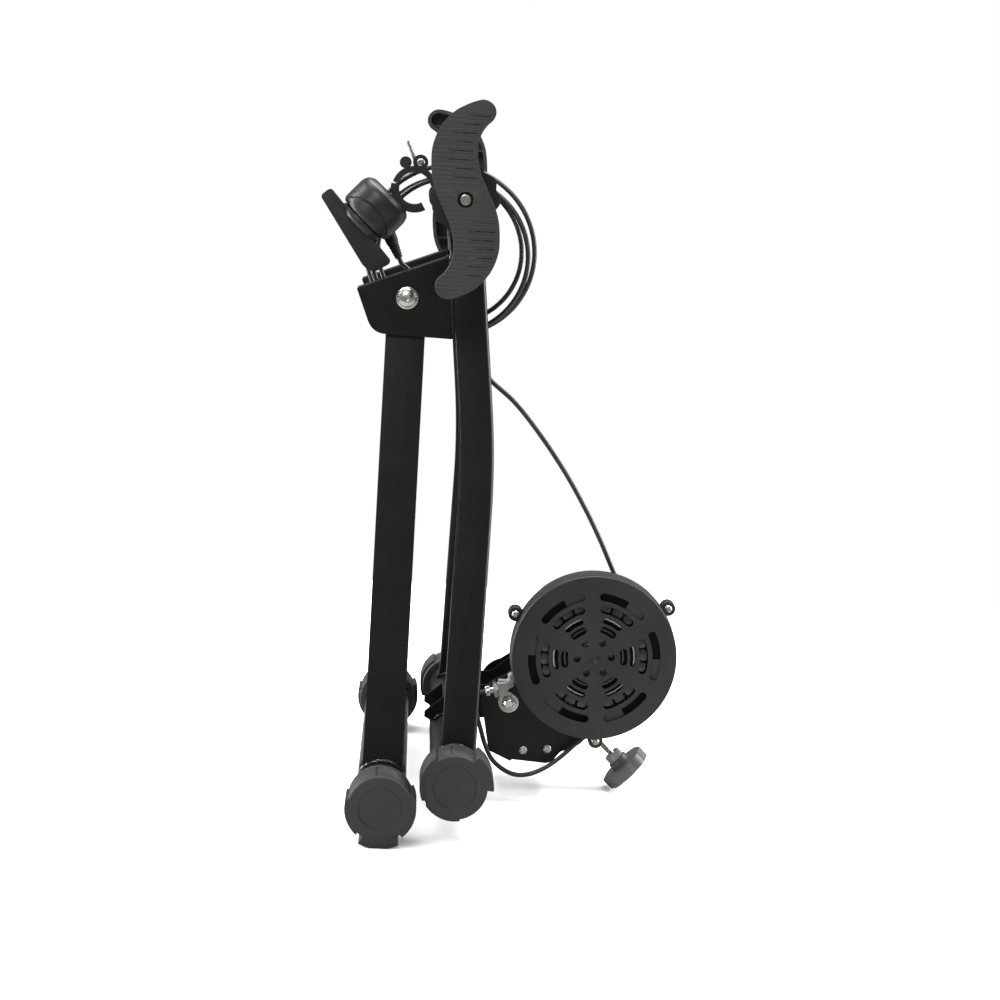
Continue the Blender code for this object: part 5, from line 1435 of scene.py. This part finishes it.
def rotor_disc():
    """Thin metal disc that turns between the magnets, on a short hub."""
    bore = SHAFT_RADIUS + GAP
    low, high = ROTOR
    hub = ROTOR_HUB_RADIUS
    profile = ((ROTOR_RADIUS, low, 0.3), (ROTOR_RADIUS, high, 0.3), (hub, high), (hub, high + 3, 0.5),
               (bore, high + 3, 0.4), (bore, low - 4, 0.4), (hub, low - 4, 0.5), (hub, low))
    piece = across("brake_rotor", profile, ROLLER, -1, ring=True, steps=96)
    fit(piece, "roller_assembly", "rotor", "rotor_disc")


def flywheel():
    """Heavy rim, thinner web and a hub."""
    near, far = FLYWHEEL
    rim = FLYWHEEL_RADIUS
    bore = SHAFT_RADIUS + GAP
    profile = ((bore, near), (rim, near, 1.2), (rim, far, 1.6), (rim - 11, far, 1.0),
               (rim - 12, far - 5, 1.0), (14, far - 5, 1.5), (14, far, 0.8), (bore, far, 0.5))
    piece = across("turned_flywheel", profile, ROLLER, ring=True, steps=96)
    fit(piece, "roller_assembly", "flywheel", "flywheel")


def flywheel_nut():
    nut = hex_nut("flywheel_hex", spot(ROLLER, FLYWHEEL[1] + GAP), (0, 1, 0), 18.0, 6.5, SHAFT_RADIUS + GAP)
    fit(nut, "roller_assembly", "plated", "flywheel_nut")


def lobe_places():
    """Centres of the three screw lobes round the housing."""
    for number in range(3):
        yield number + 1, polar(ROLLER, LOBE_CIRCLE, 30 + 120 * number + UNIT_TILT)


def lobe_holes(near, far):
    """One cutter for the holes of the three cover screws."""
    return joined("holes", [cross_hole("screw_hole", place, -1, near, far, LOBE_HOLE_RADIUS)
                            for _, place in lobe_places()])


def housing_back():
    """Back shell: shallow ribbed pan with a hub that seats on the side plate, and three screw lobes."""
    radius = HOUSING_RADIUS
    wall = HOUSING_WALL
    bore = SHAFT_RADIUS + 3.0
    joint = HOUSING_JOINT - GAP / 2
    seat = BEARING_BOSS[1] + GAP
    profile = ((radius, HOUSING_BACK, 3.0), (radius, joint, 0.5), (radius - wall, joint),
               (radius - wall, HOUSING_BACK + wall), (bore, HOUSING_BACK + wall), (bore, seat),
               (HUB_RADIUS, seat, 0.8), (HUB_RADIUS, HOUSING_BACK, 1.0))
    shell = across("brake_shell", profile, ROLLER, -1, ring=True, steps=144)
    parts = [cross_hole("lobe", place, -1, HOUSING_BACK + 1, joint - LOBE_STEP, LOBE_RADIUS)
             for _, place in lobe_places()]
    for number in range(BACK_RIB_COUNT):
        angle = 360 / BACK_RIB_COUNT * number + UNIT_TILT
        near, far = [Vector(polar(ROLLER, reach, angle)) for reach in (HUB_RADIUS - 1, radius - 3)]
        half = Vector((math.sin(math.radians(angle)), -math.cos(math.radians(angle)))) * BACK_RIB_HALF
        loop = [near + half, far + half, far - half, near - half]
        parts.append(prism("rib", [loop], -HOUSING_BACK - 0.5, -HOUSING_BACK + 1.6))
    shell = combine(shell, "UNION", joined("lobes_and_ribs", parts))
    shell = combine(shell, "DIFFERENCE", lobe_holes(joint - 7, joint + 5))
    fit(shell, "resistance_unit", "housing", "housing_back")


def slot(radius, half_angle, width, middle, steps):
    """Curved slot with round ends, about the roller's axis."""
    half = width / 2
    start, end = middle - half_angle, middle + half_angle
    outer = arc(ROLLER, radius + half, start, end, steps)
    inner = arc(ROLLER, radius - half, end, start, steps)
    cap = arc(polar(ROLLER, radius, end), half, end, end + 180, 10)[1:-1]
    other_cap = arc(polar(ROLLER, radius, start), half, start + 180, start + 360, 10)[1:-1]
    return outer + cap + inner + other_cap


def vent_loops():
    """Six sectors of curved slots with a round hole at the point of each."""
    loops = []
    for sector in range(VENT_SECTORS):
        middle = 360 / VENT_SECTORS * sector + UNIT_TILT
        loops.append(circle(VENT_HOLE_RADIUS, 32, polar(ROLLER, VENT_HOLE_CIRCLE, middle)))
        for radius, half_angle, width in VENT_ROWS:
            loops.append(slot(radius, half_angle, width, middle, 14))
    return loops


def housing_cover():
    """Vented front shell with a rounded rim, a centre dimple and softened vent edges."""
    front = HOUSING_FRONT
    radius = HOUSING_RADIUS
    wall = HOUSING_WALL
    back = front - wall
    joint = HOUSING_JOINT + GAP / 2
    profile = ((0, front - 1.2), (2.6, front - 1.2, 0.5), (4.4, front, 0.8), (radius - 0.9, front, 1.3),
               (radius, joint, 0.5), (radius - wall, joint), (radius - wall, back - 2), (radius - 4, back),
               (0, back))
    cover = across("vented_cover", profile, ROLLER, -1, steps=144)
    lobes = [across("lobe", ((0, joint + LOBE_STEP), (LOBE_RADIUS, joint + LOBE_STEP, 0.4),
                             (LOBE_RADIUS, LOBE_FACE, 0.9), (0, LOBE_FACE)), place, -1, steps=48)
             for _, place in lobe_places()]
    cover = combine(cover, "UNION", joined("lobes", lobes))
    cover = combine(cover, "DIFFERENCE", lobe_holes(joint - 5, LOBE_FACE + 5),
                    prism("vents", vent_loops(), 1 - back, -front - 5))
    fit(rounded_edges(cover, 0.45, 2, 60), "resistance_unit", "housing", "housing_cover")


def cover_screws():
    for number, place in lobe_places():
        screw = cross_screw(f"lobe_screw_{number}", spot(place, -LOBE_FACE - GAP), (0, -1, 0), 3.1, 2.3, 1.8,
                            LOBE_FACE + GAP - HOUSING_JOINT + 6, 20 + 35 * number)
        fit(screw, "resistance_unit", "plated", f"cover_screw_{number}")


def magnet_carrier():
    """Ring that holds the magnets and turns a little behind the vents, with a bright inner track."""
    inner, outer = CARRIER
    rim = HOUSING_RADIUS - HOUSING_WALL - CARRIER_RIM_GAP
    profile = ((rim, inner, 0.5), (rim, outer, 0.5), (47.7, outer), (47.2, outer - 0.5), (36.2, outer - 0.5),
               (35.7, outer), (CARRIER_BORE, outer, 0.5), (CARRIER_BORE, inner, 0.5))
    carrier = across("magnet_ring", profile, ROLLER, -1, ring=True, steps=120)
    magnets = []
    pockets = []
    for number in range(MAGNET_COUNT):
        angle = 360 * number / MAGNET_COUNT + UNIT_TILT
        place = polar(ROLLER, MAGNET_CIRCLE, angle)
        pockets.append(cross_hole("pocket", place, -1, outer - 1.5, outer + 2, MAGNET_RADIUS))
        form = ((0, outer - 1.3), (MAGNET_RADIUS - 0.2, outer - 1.3), (MAGNET_RADIUS - 0.2, outer - 0.1, 0.5),
                (0, outer - 0.1))
        magnets.append(across("magnet", form, place, -1, steps=48))
    carrier = combine(carrier, "DIFFERENCE", joined("pockets", pockets))
    fit(carrier, "magnet_ring", "carrier", "magnet_carrier")
    fit(joined("round_magnets", magnets), "magnet_ring", "magnet")
    for name, finish, (low, high) in zip(("inner_track", "outer_track"), ("magnet", "track"), TRACK_RADII):
        track = ((high, outer - 0.6), (high, outer + 0.5, 0.3), (low, outer + 0.5, 0.3), (low, outer - 0.6))
        fit(across(name, track, ROLLER, -1, ring=True, steps=120), "magnet_ring", finish)
    pads = []
    for sector in range(VENT_SECTORS):
        middle = 360 / VENT_SECTORS * sector + UNIT_TILT - 13
        outline = ring_sector(ROLLER, *PAD_RADII, middle - 11, middle + 9, 12)
        pads.append(prism("pad", [outline], 0.3 - outer, -outer - 1.2))
    fit(joined("rim_pads", pads), "magnet_ring", "pad")


# Tension screw

def along_tension(distance):
    return spot(TRUNNION, 0) + TENSION_AXIS * distance


def tension_trunnion():
    """Swivelling barrel between the saddle's ears, cross-bored for the screw."""
    half = SADDLE_OUTER - SADDLE_WALL - GAP
    pin = TRUNNION_PIN_RADIUS
    profile = ((0, -half - 4), (pin, -half - 4, 0.6), (pin, -half), (TRUNNION_RADIUS, -half, 1.0),
               (TRUNNION_RADIUS, half, 1.0), (pin, half), (pin, half + 4, 0.6), (0, half + 4))
    barrel = across("swivel_barrel", profile, TRUNNION)
    barrel = combine(barrel, "DIFFERENCE",
                     rod("bore", along_tension(-20), along_tension(20), TENSION_RADIUS + GAP))
    fit(barrel, "screw_trunnion", "spindle", "tension_trunnion")


def tension_screw():
    """Long threaded screw held in the trunnion by its head and a collar."""
    seat = TRUNNION_RADIUS + GAP
    end = KNOB_FACE + 5
    shank = TENSION_RADIUS
    collar = TENSION_COLLAR_RADIUS
    plain = ((0, -seat - 4), (collar, -seat - 4, 0.8), (collar, -seat, 0.3), (shank, -seat), (shank, seat),
             (collar, seat, 0.3), (collar, seat + 2.5, 0.3), (shank, seat + 2.5), (shank, seat + 8),
             (0, seat + 8))
    screw = lathe("long_screw", plain, along_tension(0), TENSION_AXIS, steps=48)
    thread = threaded("thread", along_tension(seat + 7), TENSION_AXIS, shank, end - seat - 7, 1.0, 0.45, 24,
                      5)
    fit(joined("long_screw", [screw, thread]), "tension_screw_assembly", "plated", "tension_screw")


def tension_lock_nut():
    start = along_tension(KNOB_START - GAP - 7)
    nut = hex_nut("knob_lock_nut", start, TENSION_AXIS, HEX_FLATS, 7, TENSION_RADIUS + GAP, 12)
    fit(nut, "tension_screw_assembly", "plated", "tension_lock_nut")


def tension_knob():
    """Lobed hand knob, dished in front, with a hub towards the lock nut."""
    loops = [lobed_outline(KNOB_RADIUS, 1.1, KNOB_LOBES)]
    knob = extruded("lobed_knob", loops, along_tension(KNOB_FACE), TENSION_AXIS, KNOB_THICKNESS)
    knob = rounded_edges(knob, 1.4, 4)
    face = KNOB_FACE + KNOB_THICKNESS
    dish = ((0, face - 1.2), (12.0, face - 1.2, 0.6), (13.2, face + 1), (0, face + 1))
    knob = combine(knob, "UNION", rod("hub", along_tension(KNOB_START), along_tension(KNOB_FACE + 2),
                                      KNOB_HUB_RADIUS, 64, 0.6))
    knob = combine(knob, "DIFFERENCE", lathe("dish", dish, along_tension(0), TENSION_AXIS, steps=72),
                   rod("bore", along_tension(KNOB_START - 5), along_tension(KNOB_FACE + 5 + GAP),
                       TENSION_RADIUS + GAP))
    fit(knob, "tension_screw_assembly", "knob", "tension_knob")


# Cable adjuster on the unit

def along_adjuster(distance):
    return ADJUSTER_START + ADJUSTER_AXIS * distance


def cable_adjuster():
    """Hollow screwed barrel with a knurled thumb end."""
    profile = ((1.2, 0), (3.9, 0, 0.5), (3.9, 3.6, 0.5), (2.8, 3.6), (2.8, 17.5, 0.4), (1.2, 17.5))

    def knurl(angle, radius):
        return 0.22 * math.cos(18 * angle) if radius > 3.5 else 0.0

    barrel = lathe("adjuster_barrel", profile, ADJUSTER_START, ADJUSTER_AXIS, ring=True, steps=108,
                   ripple=knurl)
    ridges = [tube("ridge", [along_adjuster(height) + spoke for spoke in ring_spokes(2.75)], 0.22, 6, True)
              for height in (4.6, 5.4, 6.2, 10.4, 11.2)]
    fit(joined("adjuster_barrel", [barrel, *ridges]), "resistance_unit", "plated", "cable_adjuster")


def ring_spokes(radius, steps=32):
    """Vectors round the adjuster's axis."""
    turn = facing(ADJUSTER_AXIS).to_3x3()
    return [turn @ Vector((*point, 0)) for point in circle(radius, steps)]


def adjuster_nut():
    nut = hex_nut("adjuster_hex", along_adjuster(6.8), ADJUSTER_AXIS, 12.4, 3.4, 2.8 + GAP, 8)
    fit(nut, "resistance_unit", "plated", "adjuster_nut")


def cable_lug():
    """Moulded lug on the side plate that holds the adjuster, with a ribbed nose to the housing."""
    start = along_adjuster(10.6)
    lug = extruded("cable_stop", [oblong(5.4, 5.4)], start, ADJUSTER_AXIS, 8.4)
    x, z = start.x + 4.2, start.z + 2.4
    foot = [(x - 4, z - 3), (x + 4, z - 3), (x + 4, z + 5), (x - 4, z + 5)]
    base = Vector((104.0, ADJUSTER_START.y, 97.0))
    ribs = []
    for number in range(3):
        ribs += [(3.6, number * 4.0, 0.3), (3.6, number * 4.0 + 2.2, 0.3), (2.7, number * 4.0 + 2.6, 0.2),
                 (2.7, number * 4.0 + 3.6, 0.2)]
    nose = Vector((0.17, 0.0, 0.985))
    lug = combine(lug, "UNION", prism("foot", [foot], -UNIT_PLATE_OUTER - GAP, ADJUSTER_START.y + 2))
    lug = rounded_edges(lug, 0.9, 3)
    lug = combine(lug, "UNION", lathe("nose", [(0, 0), *ribs, (0, 12.0)], base, nose, steps=48),
                  rod("neck", along_adjuster(15), base + nose * 1.5, 3.0))
    lug = combine(lug, "DIFFERENCE", rod("bore", along_adjuster(5), along_adjuster(17.5 + GAP), 2.8 + GAP))
    fit(lug, "resistance_unit", "lug", "cable_lug")


# Remote lever

def shifter_point(along, down=0.0, across_it=0.0):
    """A place on the remote: along its axis, down the lever, and across the trainer."""
    lever = Vector((SHIFTER_AXIS.z, 0.0, -SHIFTER_AXIS.x))
    return SHIFTER_FACE + SHIFTER_AXIS * along + lever * down + Vector((0, across_it, 0))


def ring_sector(centre, inner, outer, start, end, steps):
    return arc(centre, outer, start, end, steps) + arc(centre, inner, end, start, steps)


def shifter_body():
    """Round housing with a saddle for the handlebar and an oval line cut in its near side."""
    y = SHIFTER_FACE.y
    radius = SHIFTER_RADIUS
    length = SHIFTER_LENGTH
    profile = ((0, 0), (radius - 5, 0, 0.8), (radius - 1.2, 1.2, 1.6), (radius, 4.5, 1.0),
               (radius, length * 0.74, 2.5), (radius - 2.0, length * 0.9, 2.0), (radius - 7, length, 2.0),
               (0, length))
    body = lathe("shifter_housing", profile, shifter_point(0), SHIFTER_AXIS, steps=96)
    half = BAND_WIDTH / 2
    saddle = prism("bar_saddle", [ring_sector(BAND_CENTRE, BAND_BORE, BAND_RADIUS + 1.5, 168, 300, 40)],
                   y - half, y + half)
    oval = []
    for across_it, around in arc((0, 0), 1.0, -84, 84, 60):
        down = 22.8 * around
        oval.append(shifter_point(14.5 * across_it, down, -math.sqrt(radius ** 2 - down ** 2)))
    body = combine(body, "UNION", rounded_edges(saddle, 0.8, 3))
    body = combine(body, "DIFFERENCE", tube("oval_line", oval, 0.9, 8))
    body = combine(body, "DIFFERENCE", cross_hole("bar_bore", BAND_CENTRE, 1, y - 40, y + 40, BAND_BORE, 96))
    fit(body, "rear_frame", "lever", "shifter_body")


def band_screw_point(distance):
    """Places on the band's screw, from its tip down through the ears."""
    return Vector((-3.8, SHIFTER_FACE.y, 549.8)) + Vector((0.42, 0.0, -0.907)).normalized() * distance


def clamp_band():
    """Hinged half of the handlebar clamp, with the two ears of its screw and a bright pin in one."""
    y = SHIFTER_FACE.y
    half = BAND_WIDTH / 2
    arch = prism("bar_band", [ring_sector(BAND_CENTRE, BAND_BORE + 1, BAND_RADIUS + 0.6, 12, 164, 60)],
                 y - half, y + half)
    ears = [cross_hole("ear", place, 1, y - half, y + half, radius)
            for place, radius in BAND_EARS]
    arch = rounded_edges(combine(arch, "UNION", *ears), 0.8, 3)
    arch = combine(arch, "DIFFERENCE", rod("hole", band_screw_point(-3), band_screw_point(30), 1.9))
    fit(arch, "handlebar_band", "lever", "shifter_band")
    pin = cross_screw("ear_pin", (7.6, y - half, 533.2), (0, -1, 0), 3.3, 1.2, 2.0, 3.0, 20)
    fit(pin, "handlebar_band", "plated")


def band_screw():
    """Threaded clamp screw, from above the band down through its ears."""
    axis = band_screw_point(1) - band_screw_point(0)
    thread = threaded("band_bolt", band_screw_point(0), axis, 1.6, 24, 1.0, 0.12, 24, 5)
    fit(thread, "handlebar_band", "dull", "band_screw")


def shifter_lever():
    """Long wedge of a thumb lever on a round base over the housing's face."""
    base = ((0, 0.3), (21, 0.3, 0.4), (21, 4.0, 1.2), (19.0, 6.5, 1.2), (0, 6.5))
    disc = lathe("thumb_bar", base, shifter_point(0), -SHIFTER_AXIS, steps=96)
    corners = []
    for along, down, radius in LEVER_SECTION:
        place = shifter_point(along, down)
        corners.append((place.x, place.z, radius))
    half = LEVER_WIDTH / 2
    y = SHIFTER_FACE.y
    bar = rounded_edges(prism("bar", [softened(corners, 10)], y - half, y + half), 3.2, 5)
    fit(combine(disc, "UNION", bar), "thumb_lever", "lever", "shifter_lever")


# Camera and studio

def add_camera(photo):
    camera = bpy.data.cameras.new("photo_camera")
    camera.lens = photo.lens
    camera.clip_end = 50
    eye = bpy.data.objects.new("photo_camera", camera)
    bpy.context.scene.collection.objects.link(eye)
    turn = (Matrix.Rotation(-photo.yaw, 4, "Z") @ Matrix.Rotation(math.pi / 2 - photo.pitch, 4, "X")
            @ Matrix.Rotation(photo.roll, 4, "Z"))
    place = CAMERA_PLACE - Vector((CENTRE_X, 0, 0))
    eye.matrix_world = Matrix.Translation(place * MM) @ turn
    bpy.context.scene.camera = eye


def area_light(name, place, target, size, power):
    light = bpy.data.lights.new(name, "AREA")
    light.shape = "RECTANGLE"
    light.size, light.size_y = size
    light.energy = power
    holder = bpy.data.objects.new(name, light)
    bpy.context.scene.collection.objects.link(holder)
    aim = (Vector(target) - Vector(place)).to_track_quat("-Z", "Y").to_matrix().to_4x4()
    holder.matrix_world = Matrix.Translation(place) @ aim


def ray_mix(tree, seen, unseen, kinds):
    """One shader where any of these rays hit, another for the rest."""
    rays = tree.nodes.new("ShaderNodeLightPath")
    share = rays.outputs[kinds[0]]
    for kind in kinds[1:]:
        share = math_node(tree, "MAXIMUM", share, rays.outputs[kind])
    mix = tree.nodes.new("ShaderNodeMixShader")
    tree.links.new(share, mix.inputs[0])
    tree.links.new(unseen, mix.inputs[1])
    tree.links.new(seen, mix.inputs[2])
    return mix.outputs[0]


def studio_world(brightness, mirrored):
    world = bpy.data.worlds.new("studio")
    world.use_nodes = True
    tree = world.node_tree
    tree.nodes.clear()
    colours = []
    for strength in (1.0, mirrored, brightness):
        node = tree.nodes.new("ShaderNodeBackground")
        node.inputs["Color"].default_value = (1, 1, 1, 1)
        node.inputs["Strength"].default_value = strength
        colours.append(node.outputs[0])
    put = tree.nodes.new("ShaderNodeOutputWorld")
    unseen = ray_mix(tree, colours[1], colours[2], ("Is Glossy Ray",))
    seen = ray_mix(tree, colours[0], unseen, ("Is Camera Ray", "Is Transmission Ray"))
    tree.links.new(seen, put.inputs["Surface"])
    bpy.context.scene.world = world


def studio_floor(colour):
    """Wide pale floor; only the shadow shows against the white beyond it."""
    form = bmesh.new()
    corners = [form.verts.new((x, y, 0)) for x, y in ((-1.1, -0.8), (1.1, -0.8), (1.1, 1.1), (-1.1, 1.1))]
    form.faces.new(corners)
    floor = from_form("studio_floor", form)
    finish, tree, shader = new_finish("pale_floor", 0.7, specular=0.1)
    tint = mix_colour(tree, noise_node(tree, 6.0, 2.0), (colour,) * 3, (colour * 1.01, colour * 1.01, colour))
    # In reflections the floor is a quarter as bright: painted shade in what the trainer mirrors.
    rays = tree.nodes.new("ShaderNodeLightPath")
    tree.links.new(mix_colour(tree, rays.outputs["Is Glossy Ray"], tint, (colour * 0.25,) * 3),
                   shader.inputs["Base Color"])
    floor.data.materials.append(finish)


def studio(stage):
    """White surroundings, floor, and soft lamps: in front, at both sides and above."""
    studio_world(stage.sky, stage.mirrored)
    studio_floor(stage.floor)
    for number, (place, target, size, power) in enumerate((
            ((-0.7, -1.9, 1.9), (0, 0, 0.3), (1.0, 1.0), stage.key),
            ((-1.5, 0.25, 0.7), (0, 0, 0.35), (0.5, 1.6), stage.side),
            ((1.5, 0.15, 0.8), (0, 0, 0.35), (0.5, 1.6), stage.side * 0.7),
            ((0.1, 0.3, 1.9), (0, 0, 0.3), (1.4, 0.8), stage.top))):
        area_light(f"softbox_{number + 1}", place, target, size, power)
    bpy.context.scene.view_settings.view_transform = "Standard"


# Add-on

def both_sides(*makers):
    """Make the left pieces, then the right ones."""
    for name, side in SIDES:
        for make in makers:
            make(name, side)


class TrainerLooks(bpy.types.PropertyGroup):
    paint_colour: FloatVectorProperty(name="Paint", description="Black powder coat of the frame",
                                      subtype="COLOR", min=0, max=1, default=(0.0034, 0.0034, 0.0036))
    plastic_colour: FloatVectorProperty(name="Plastic", description="Black moulded plastic",
                                        subtype="COLOR", min=0, max=1, default=(0.0068, 0.0068, 0.0072))
    steel_colour: FloatVectorProperty(name="Plating", description="Zinc plate of bolts and nuts",
                                      subtype="COLOR", min=0, max=1, default=(0.66, 0.66, 0.65))
    paint_roughness: FloatProperty(name="Paint roughness", description="Sheen of the powder coat",
                                   default=0.36, min=0.05, max=1, subtype="FACTOR")
    plastic_roughness: FloatProperty(name="Plastic roughness", description="Sheen of the grips",
                                     default=0.46, min=0.05, max=1, subtype="FACTOR")
    steel_roughness: FloatProperty(name="Plating roughness", description="Sheen of the zinc plate",
                                   default=0.26, min=0.05, max=1, subtype="FACTOR")
    # Edge lift of the coated finishes: partly wear, partly a painted highlight on the rounded edges.
    edge_wear_and_highlight: FloatProperty(name="Wear", description="How far edges are rubbed lighter", default=0.5, min=0,
                        max=1, subtype="FACTOR")


class TrainerCable(bpy.types.PropertyGroup):
    spacing: FloatProperty(name="Spacing", description="Distance in millimetres between rings of the cable",
                           default=3.0, min=1.5, max=12)
    sides: IntProperty(name="Sides", description="Sides of the cable's section", default=14, min=6, max=32)


class TrainerPhoto(bpy.types.PropertyGroup):
    lens: FloatProperty(name="Lens", description="Focal length", default=LENS, min=20, max=300,
                        unit="CAMERA")
    yaw: FloatProperty(name="Yaw", description="Turn of the view about the vertical", subtype="ANGLE",
                       default=math.radians(CAMERA_YAW))
    pitch: FloatProperty(name="Pitch", description="Downward tilt of the view", subtype="ANGLE",
                         default=math.radians(CAMERA_PITCH))
    roll: FloatProperty(name="Roll", description="Turn of the view about its own axis", subtype="ANGLE",
                        default=math.radians(CAMERA_ROLL))


class TrainerStage(bpy.types.PropertyGroup):
    sky: FloatProperty(name="Sky", description="Strength of the surrounding light", default=1.3, min=0,
                       max=3)
    mirrored: FloatProperty(name="Mirrored sky", description="Strength of the surroundings in reflections",
                            default=0.22, min=0, max=3)
    floor: FloatProperty(name="Floor", description="Brightness of the floor", default=0.92, min=0, max=1)
    key: FloatProperty(name="Key", description="Main lamp at the front left", default=26, min=0, unit="POWER")
    side: FloatProperty(name="Side", description="Strip lamps at both sides", default=55, min=0, unit="POWER")
    top: FloatProperty(name="Top", description="Lamp above", default=50, min=0, unit="POWER")


class TRAINER_OT_camera(bpy.types.Operator):
    """Place the camera at the photograph's viewpoint"""
    bl_idname = "trainer.camera"
    bl_label = "Camera"

    def execute(self, context):
        add_camera(context.scene.trainer_photo)
        return {"FINISHED"}


class TRAINER_OT_finishes(bpy.types.Operator):
    """Make the shader groups and the finishes"""
    bl_idname = "trainer.finishes"
    bl_label = "Finishes"

    def execute(self, context):
        make_finishes(context.scene.trainer_looks)
        return {"FINISHED"}


class TRAINER_OT_cable(bpy.types.Operator):
    """Lay the cable and its boot"""
    bl_idname = "trainer.cable"
    bl_label = "Cable and boot"

    def execute(self, context):
        cable(context.scene.trainer_cable.spacing, context.scene.trainer_cable.sides)
        return {"FINISHED"}


class TRAINER_OT_floor_tubes(bpy.types.Operator):
    """Make the two floor tubes"""
    bl_idname = "trainer.floor_tubes"
    bl_label = "Floor tubes"

    def execute(self, context):
        floor_tube("front_bar", "front_frame", *FRONT_END)
        floor_tube("rear_bar", "rear_frame", *REAR_END)
        return {"FINISHED"}


class TRAINER_OT_foot_caps(bpy.types.Operator):
    """Make the four levelling caps"""
    bl_idname = "trainer.foot_caps"
    bl_label = "Foot caps"

    def execute(self, context):
        for name, side in SIDES:
            foot_cap("front", name, side, *FRONT_END, FRONT_LOBES, FRONT_LOBE_DEPTHS)
            foot_cap("rear", name, side, *REAR_END, REAR_LOBES, REAR_LOBE_DEPTHS)
        return {"FINISHED"}


class TRAINER_OT_front_legs(bpy.types.Operator):
    """Make the straight front legs and their welds"""
    bl_idname = "trainer.front_legs"
    bl_label = "Front legs"

    def execute(self, context):
        both_sides(front_leg)
        return {"FINISHED"}


class TRAINER_OT_rear_legs(bpy.types.Operator):
    """Make the bent rear legs and their welds"""
    bl_idname = "trainer.rear_legs"
    bl_label = "Rear legs"

    def execute(self, context):
        both_sides(rear_leg)
        return {"FINISHED"}


class TRAINER_OT_hinges(bpy.types.Operator):
    """Make the hinge brackets with their bolts and nuts"""
    bl_idname = "trainer.hinges"
    bl_label = "Hinges"

    def execute(self, context):
        both_sides(hinge_bracket, hinge_bolt, hinge_nut)
        return {"FINISHED"}


class TRAINER_OT_clamps(bpy.types.Operator):
    """Make the guide tubes, spindles and hand rings"""
    bl_idname = "trainer.clamps"
    bl_label = "Wheel clamps"

    def execute(self, context):
        both_sides(clamp_sleeve, spindle, lock_ring)
        return {"FINISHED"}


class TRAINER_OT_handles(bpy.types.Operator):
    """Make the S-shaped grips and their screws"""
    bl_idname = "trainer.handles"
    bl_label = "Handles"

    def execute(self, context):
        both_sides(handle, handle_screw)
        return {"FINISHED"}


class TRAINER_OT_unit_frame(bpy.types.Operator):
    """Make the saddle, the pivot and the resistance unit's frame"""
    bl_idname = "trainer.unit_frame"
    bl_label = "Unit frame"

    def execute(self, context):
        unit_saddle()
        pivot_bolt()
        pivot_nut()
        unit_frame()
        return {"FINISHED"}


class TRAINER_OT_roller(bpy.types.Operator):
    """Make the roller, its bearings, the flywheel and the rotor"""
    bl_idname = "trainer.roller"
    bl_label = "Roller and flywheel"

    def execute(self, context):
        both_sides(bearing)
        roller()
        roller_shaft()
        rotor_disc()
        flywheel()
        flywheel_nut()
        return {"FINISHED"}


class TRAINER_OT_brake(bpy.types.Operator):
    """Make the vented brake housing and the magnets in it"""
    bl_idname = "trainer.brake"
    bl_label = "Brake housing"

    def execute(self, context):
        housing_back()
        magnet_carrier()
        housing_cover()
        cover_screws()
        return {"FINISHED"}


class TRAINER_OT_tension(bpy.types.Operator):
    """Make the tension screw with its swivel and knob"""
    bl_idname = "trainer.tension"
    bl_label = "Tension screw"

    def execute(self, context):
        tension_trunnion()
        tension_screw()
        tension_lock_nut()
        tension_knob()
        return {"FINISHED"}


class TRAINER_OT_adjuster(bpy.types.Operator):
    """Make the cable adjuster and its lug"""
    bl_idname = "trainer.adjuster"
    bl_label = "Cable adjuster"

    def execute(self, context):
        cable_lug()
        cable_adjuster()
        adjuster_nut()
        return {"FINISHED"}


class TRAINER_OT_remote(bpy.types.Operator):
    """Make the remote lever and its handlebar clamp"""
    bl_idname = "trainer.remote"
    bl_label = "Remote lever"

    def execute(self, context):
        shifter_body()
        clamp_band()
        band_screw()
        shifter_lever()
        return {"FINISHED"}


class TRAINER_OT_stage(bpy.types.Operator):
    """Set up the white studio"""
    bl_idname = "trainer.stage"
    bl_label = "Studio"

    def execute(self, context):
        studio(context.scene.trainer_stage)
        return {"FINISHED"}


OPERATORS = (TRAINER_OT_finishes, TRAINER_OT_camera, TRAINER_OT_cable, TRAINER_OT_floor_tubes,
             TRAINER_OT_foot_caps, TRAINER_OT_front_legs, TRAINER_OT_rear_legs, TRAINER_OT_hinges,
             TRAINER_OT_clamps, TRAINER_OT_handles, TRAINER_OT_unit_frame, TRAINER_OT_roller,
             TRAINER_OT_brake, TRAINER_OT_tension, TRAINER_OT_adjuster, TRAINER_OT_remote, TRAINER_OT_stage)
SETTINGS = {"trainer_looks": TrainerLooks, "trainer_cable": TrainerCable, "trainer_photo": TrainerPhoto,
            "trainer_stage": TrainerStage}


class TRAINER_PT_panel(bpy.types.Panel):
    """Steps and settings of the trainer"""
    bl_label = "Trainer"
    bl_idname = "TRAINER_PT_panel"
    bl_space_type = "VIEW_3D"
    bl_region_type = "UI"
    bl_category = "Trainer"

    def draw(self, context):
        for operator in OPERATORS:
            self.layout.operator(operator.bl_idname)
        for name, kind in SETTINGS.items():
            box = self.layout.box()
            for label in kind.__annotations__:
                box.prop(getattr(context.scene, name), label)


CLASSES = (*SETTINGS.values(), *OPERATORS, TRAINER_PT_panel)


def register():
    for kind in CLASSES:
        bpy.utils.register_class(kind)
    for name, kind in SETTINGS.items():
        setattr(bpy.types.Scene, name, PointerProperty(type=kind))


def unregister():
    for name in SETTINGS:
        delattr(bpy.types.Scene, name)
    for kind in reversed(CLASSES):
        bpy.utils.unregister_class(kind)


def main():
    register()
    for operator in OPERATORS:
        group, step = operator.bl_idname.split(".")
        getattr(getattr(bpy.ops, group), step)()


if __name__ == "__main__":
    main()
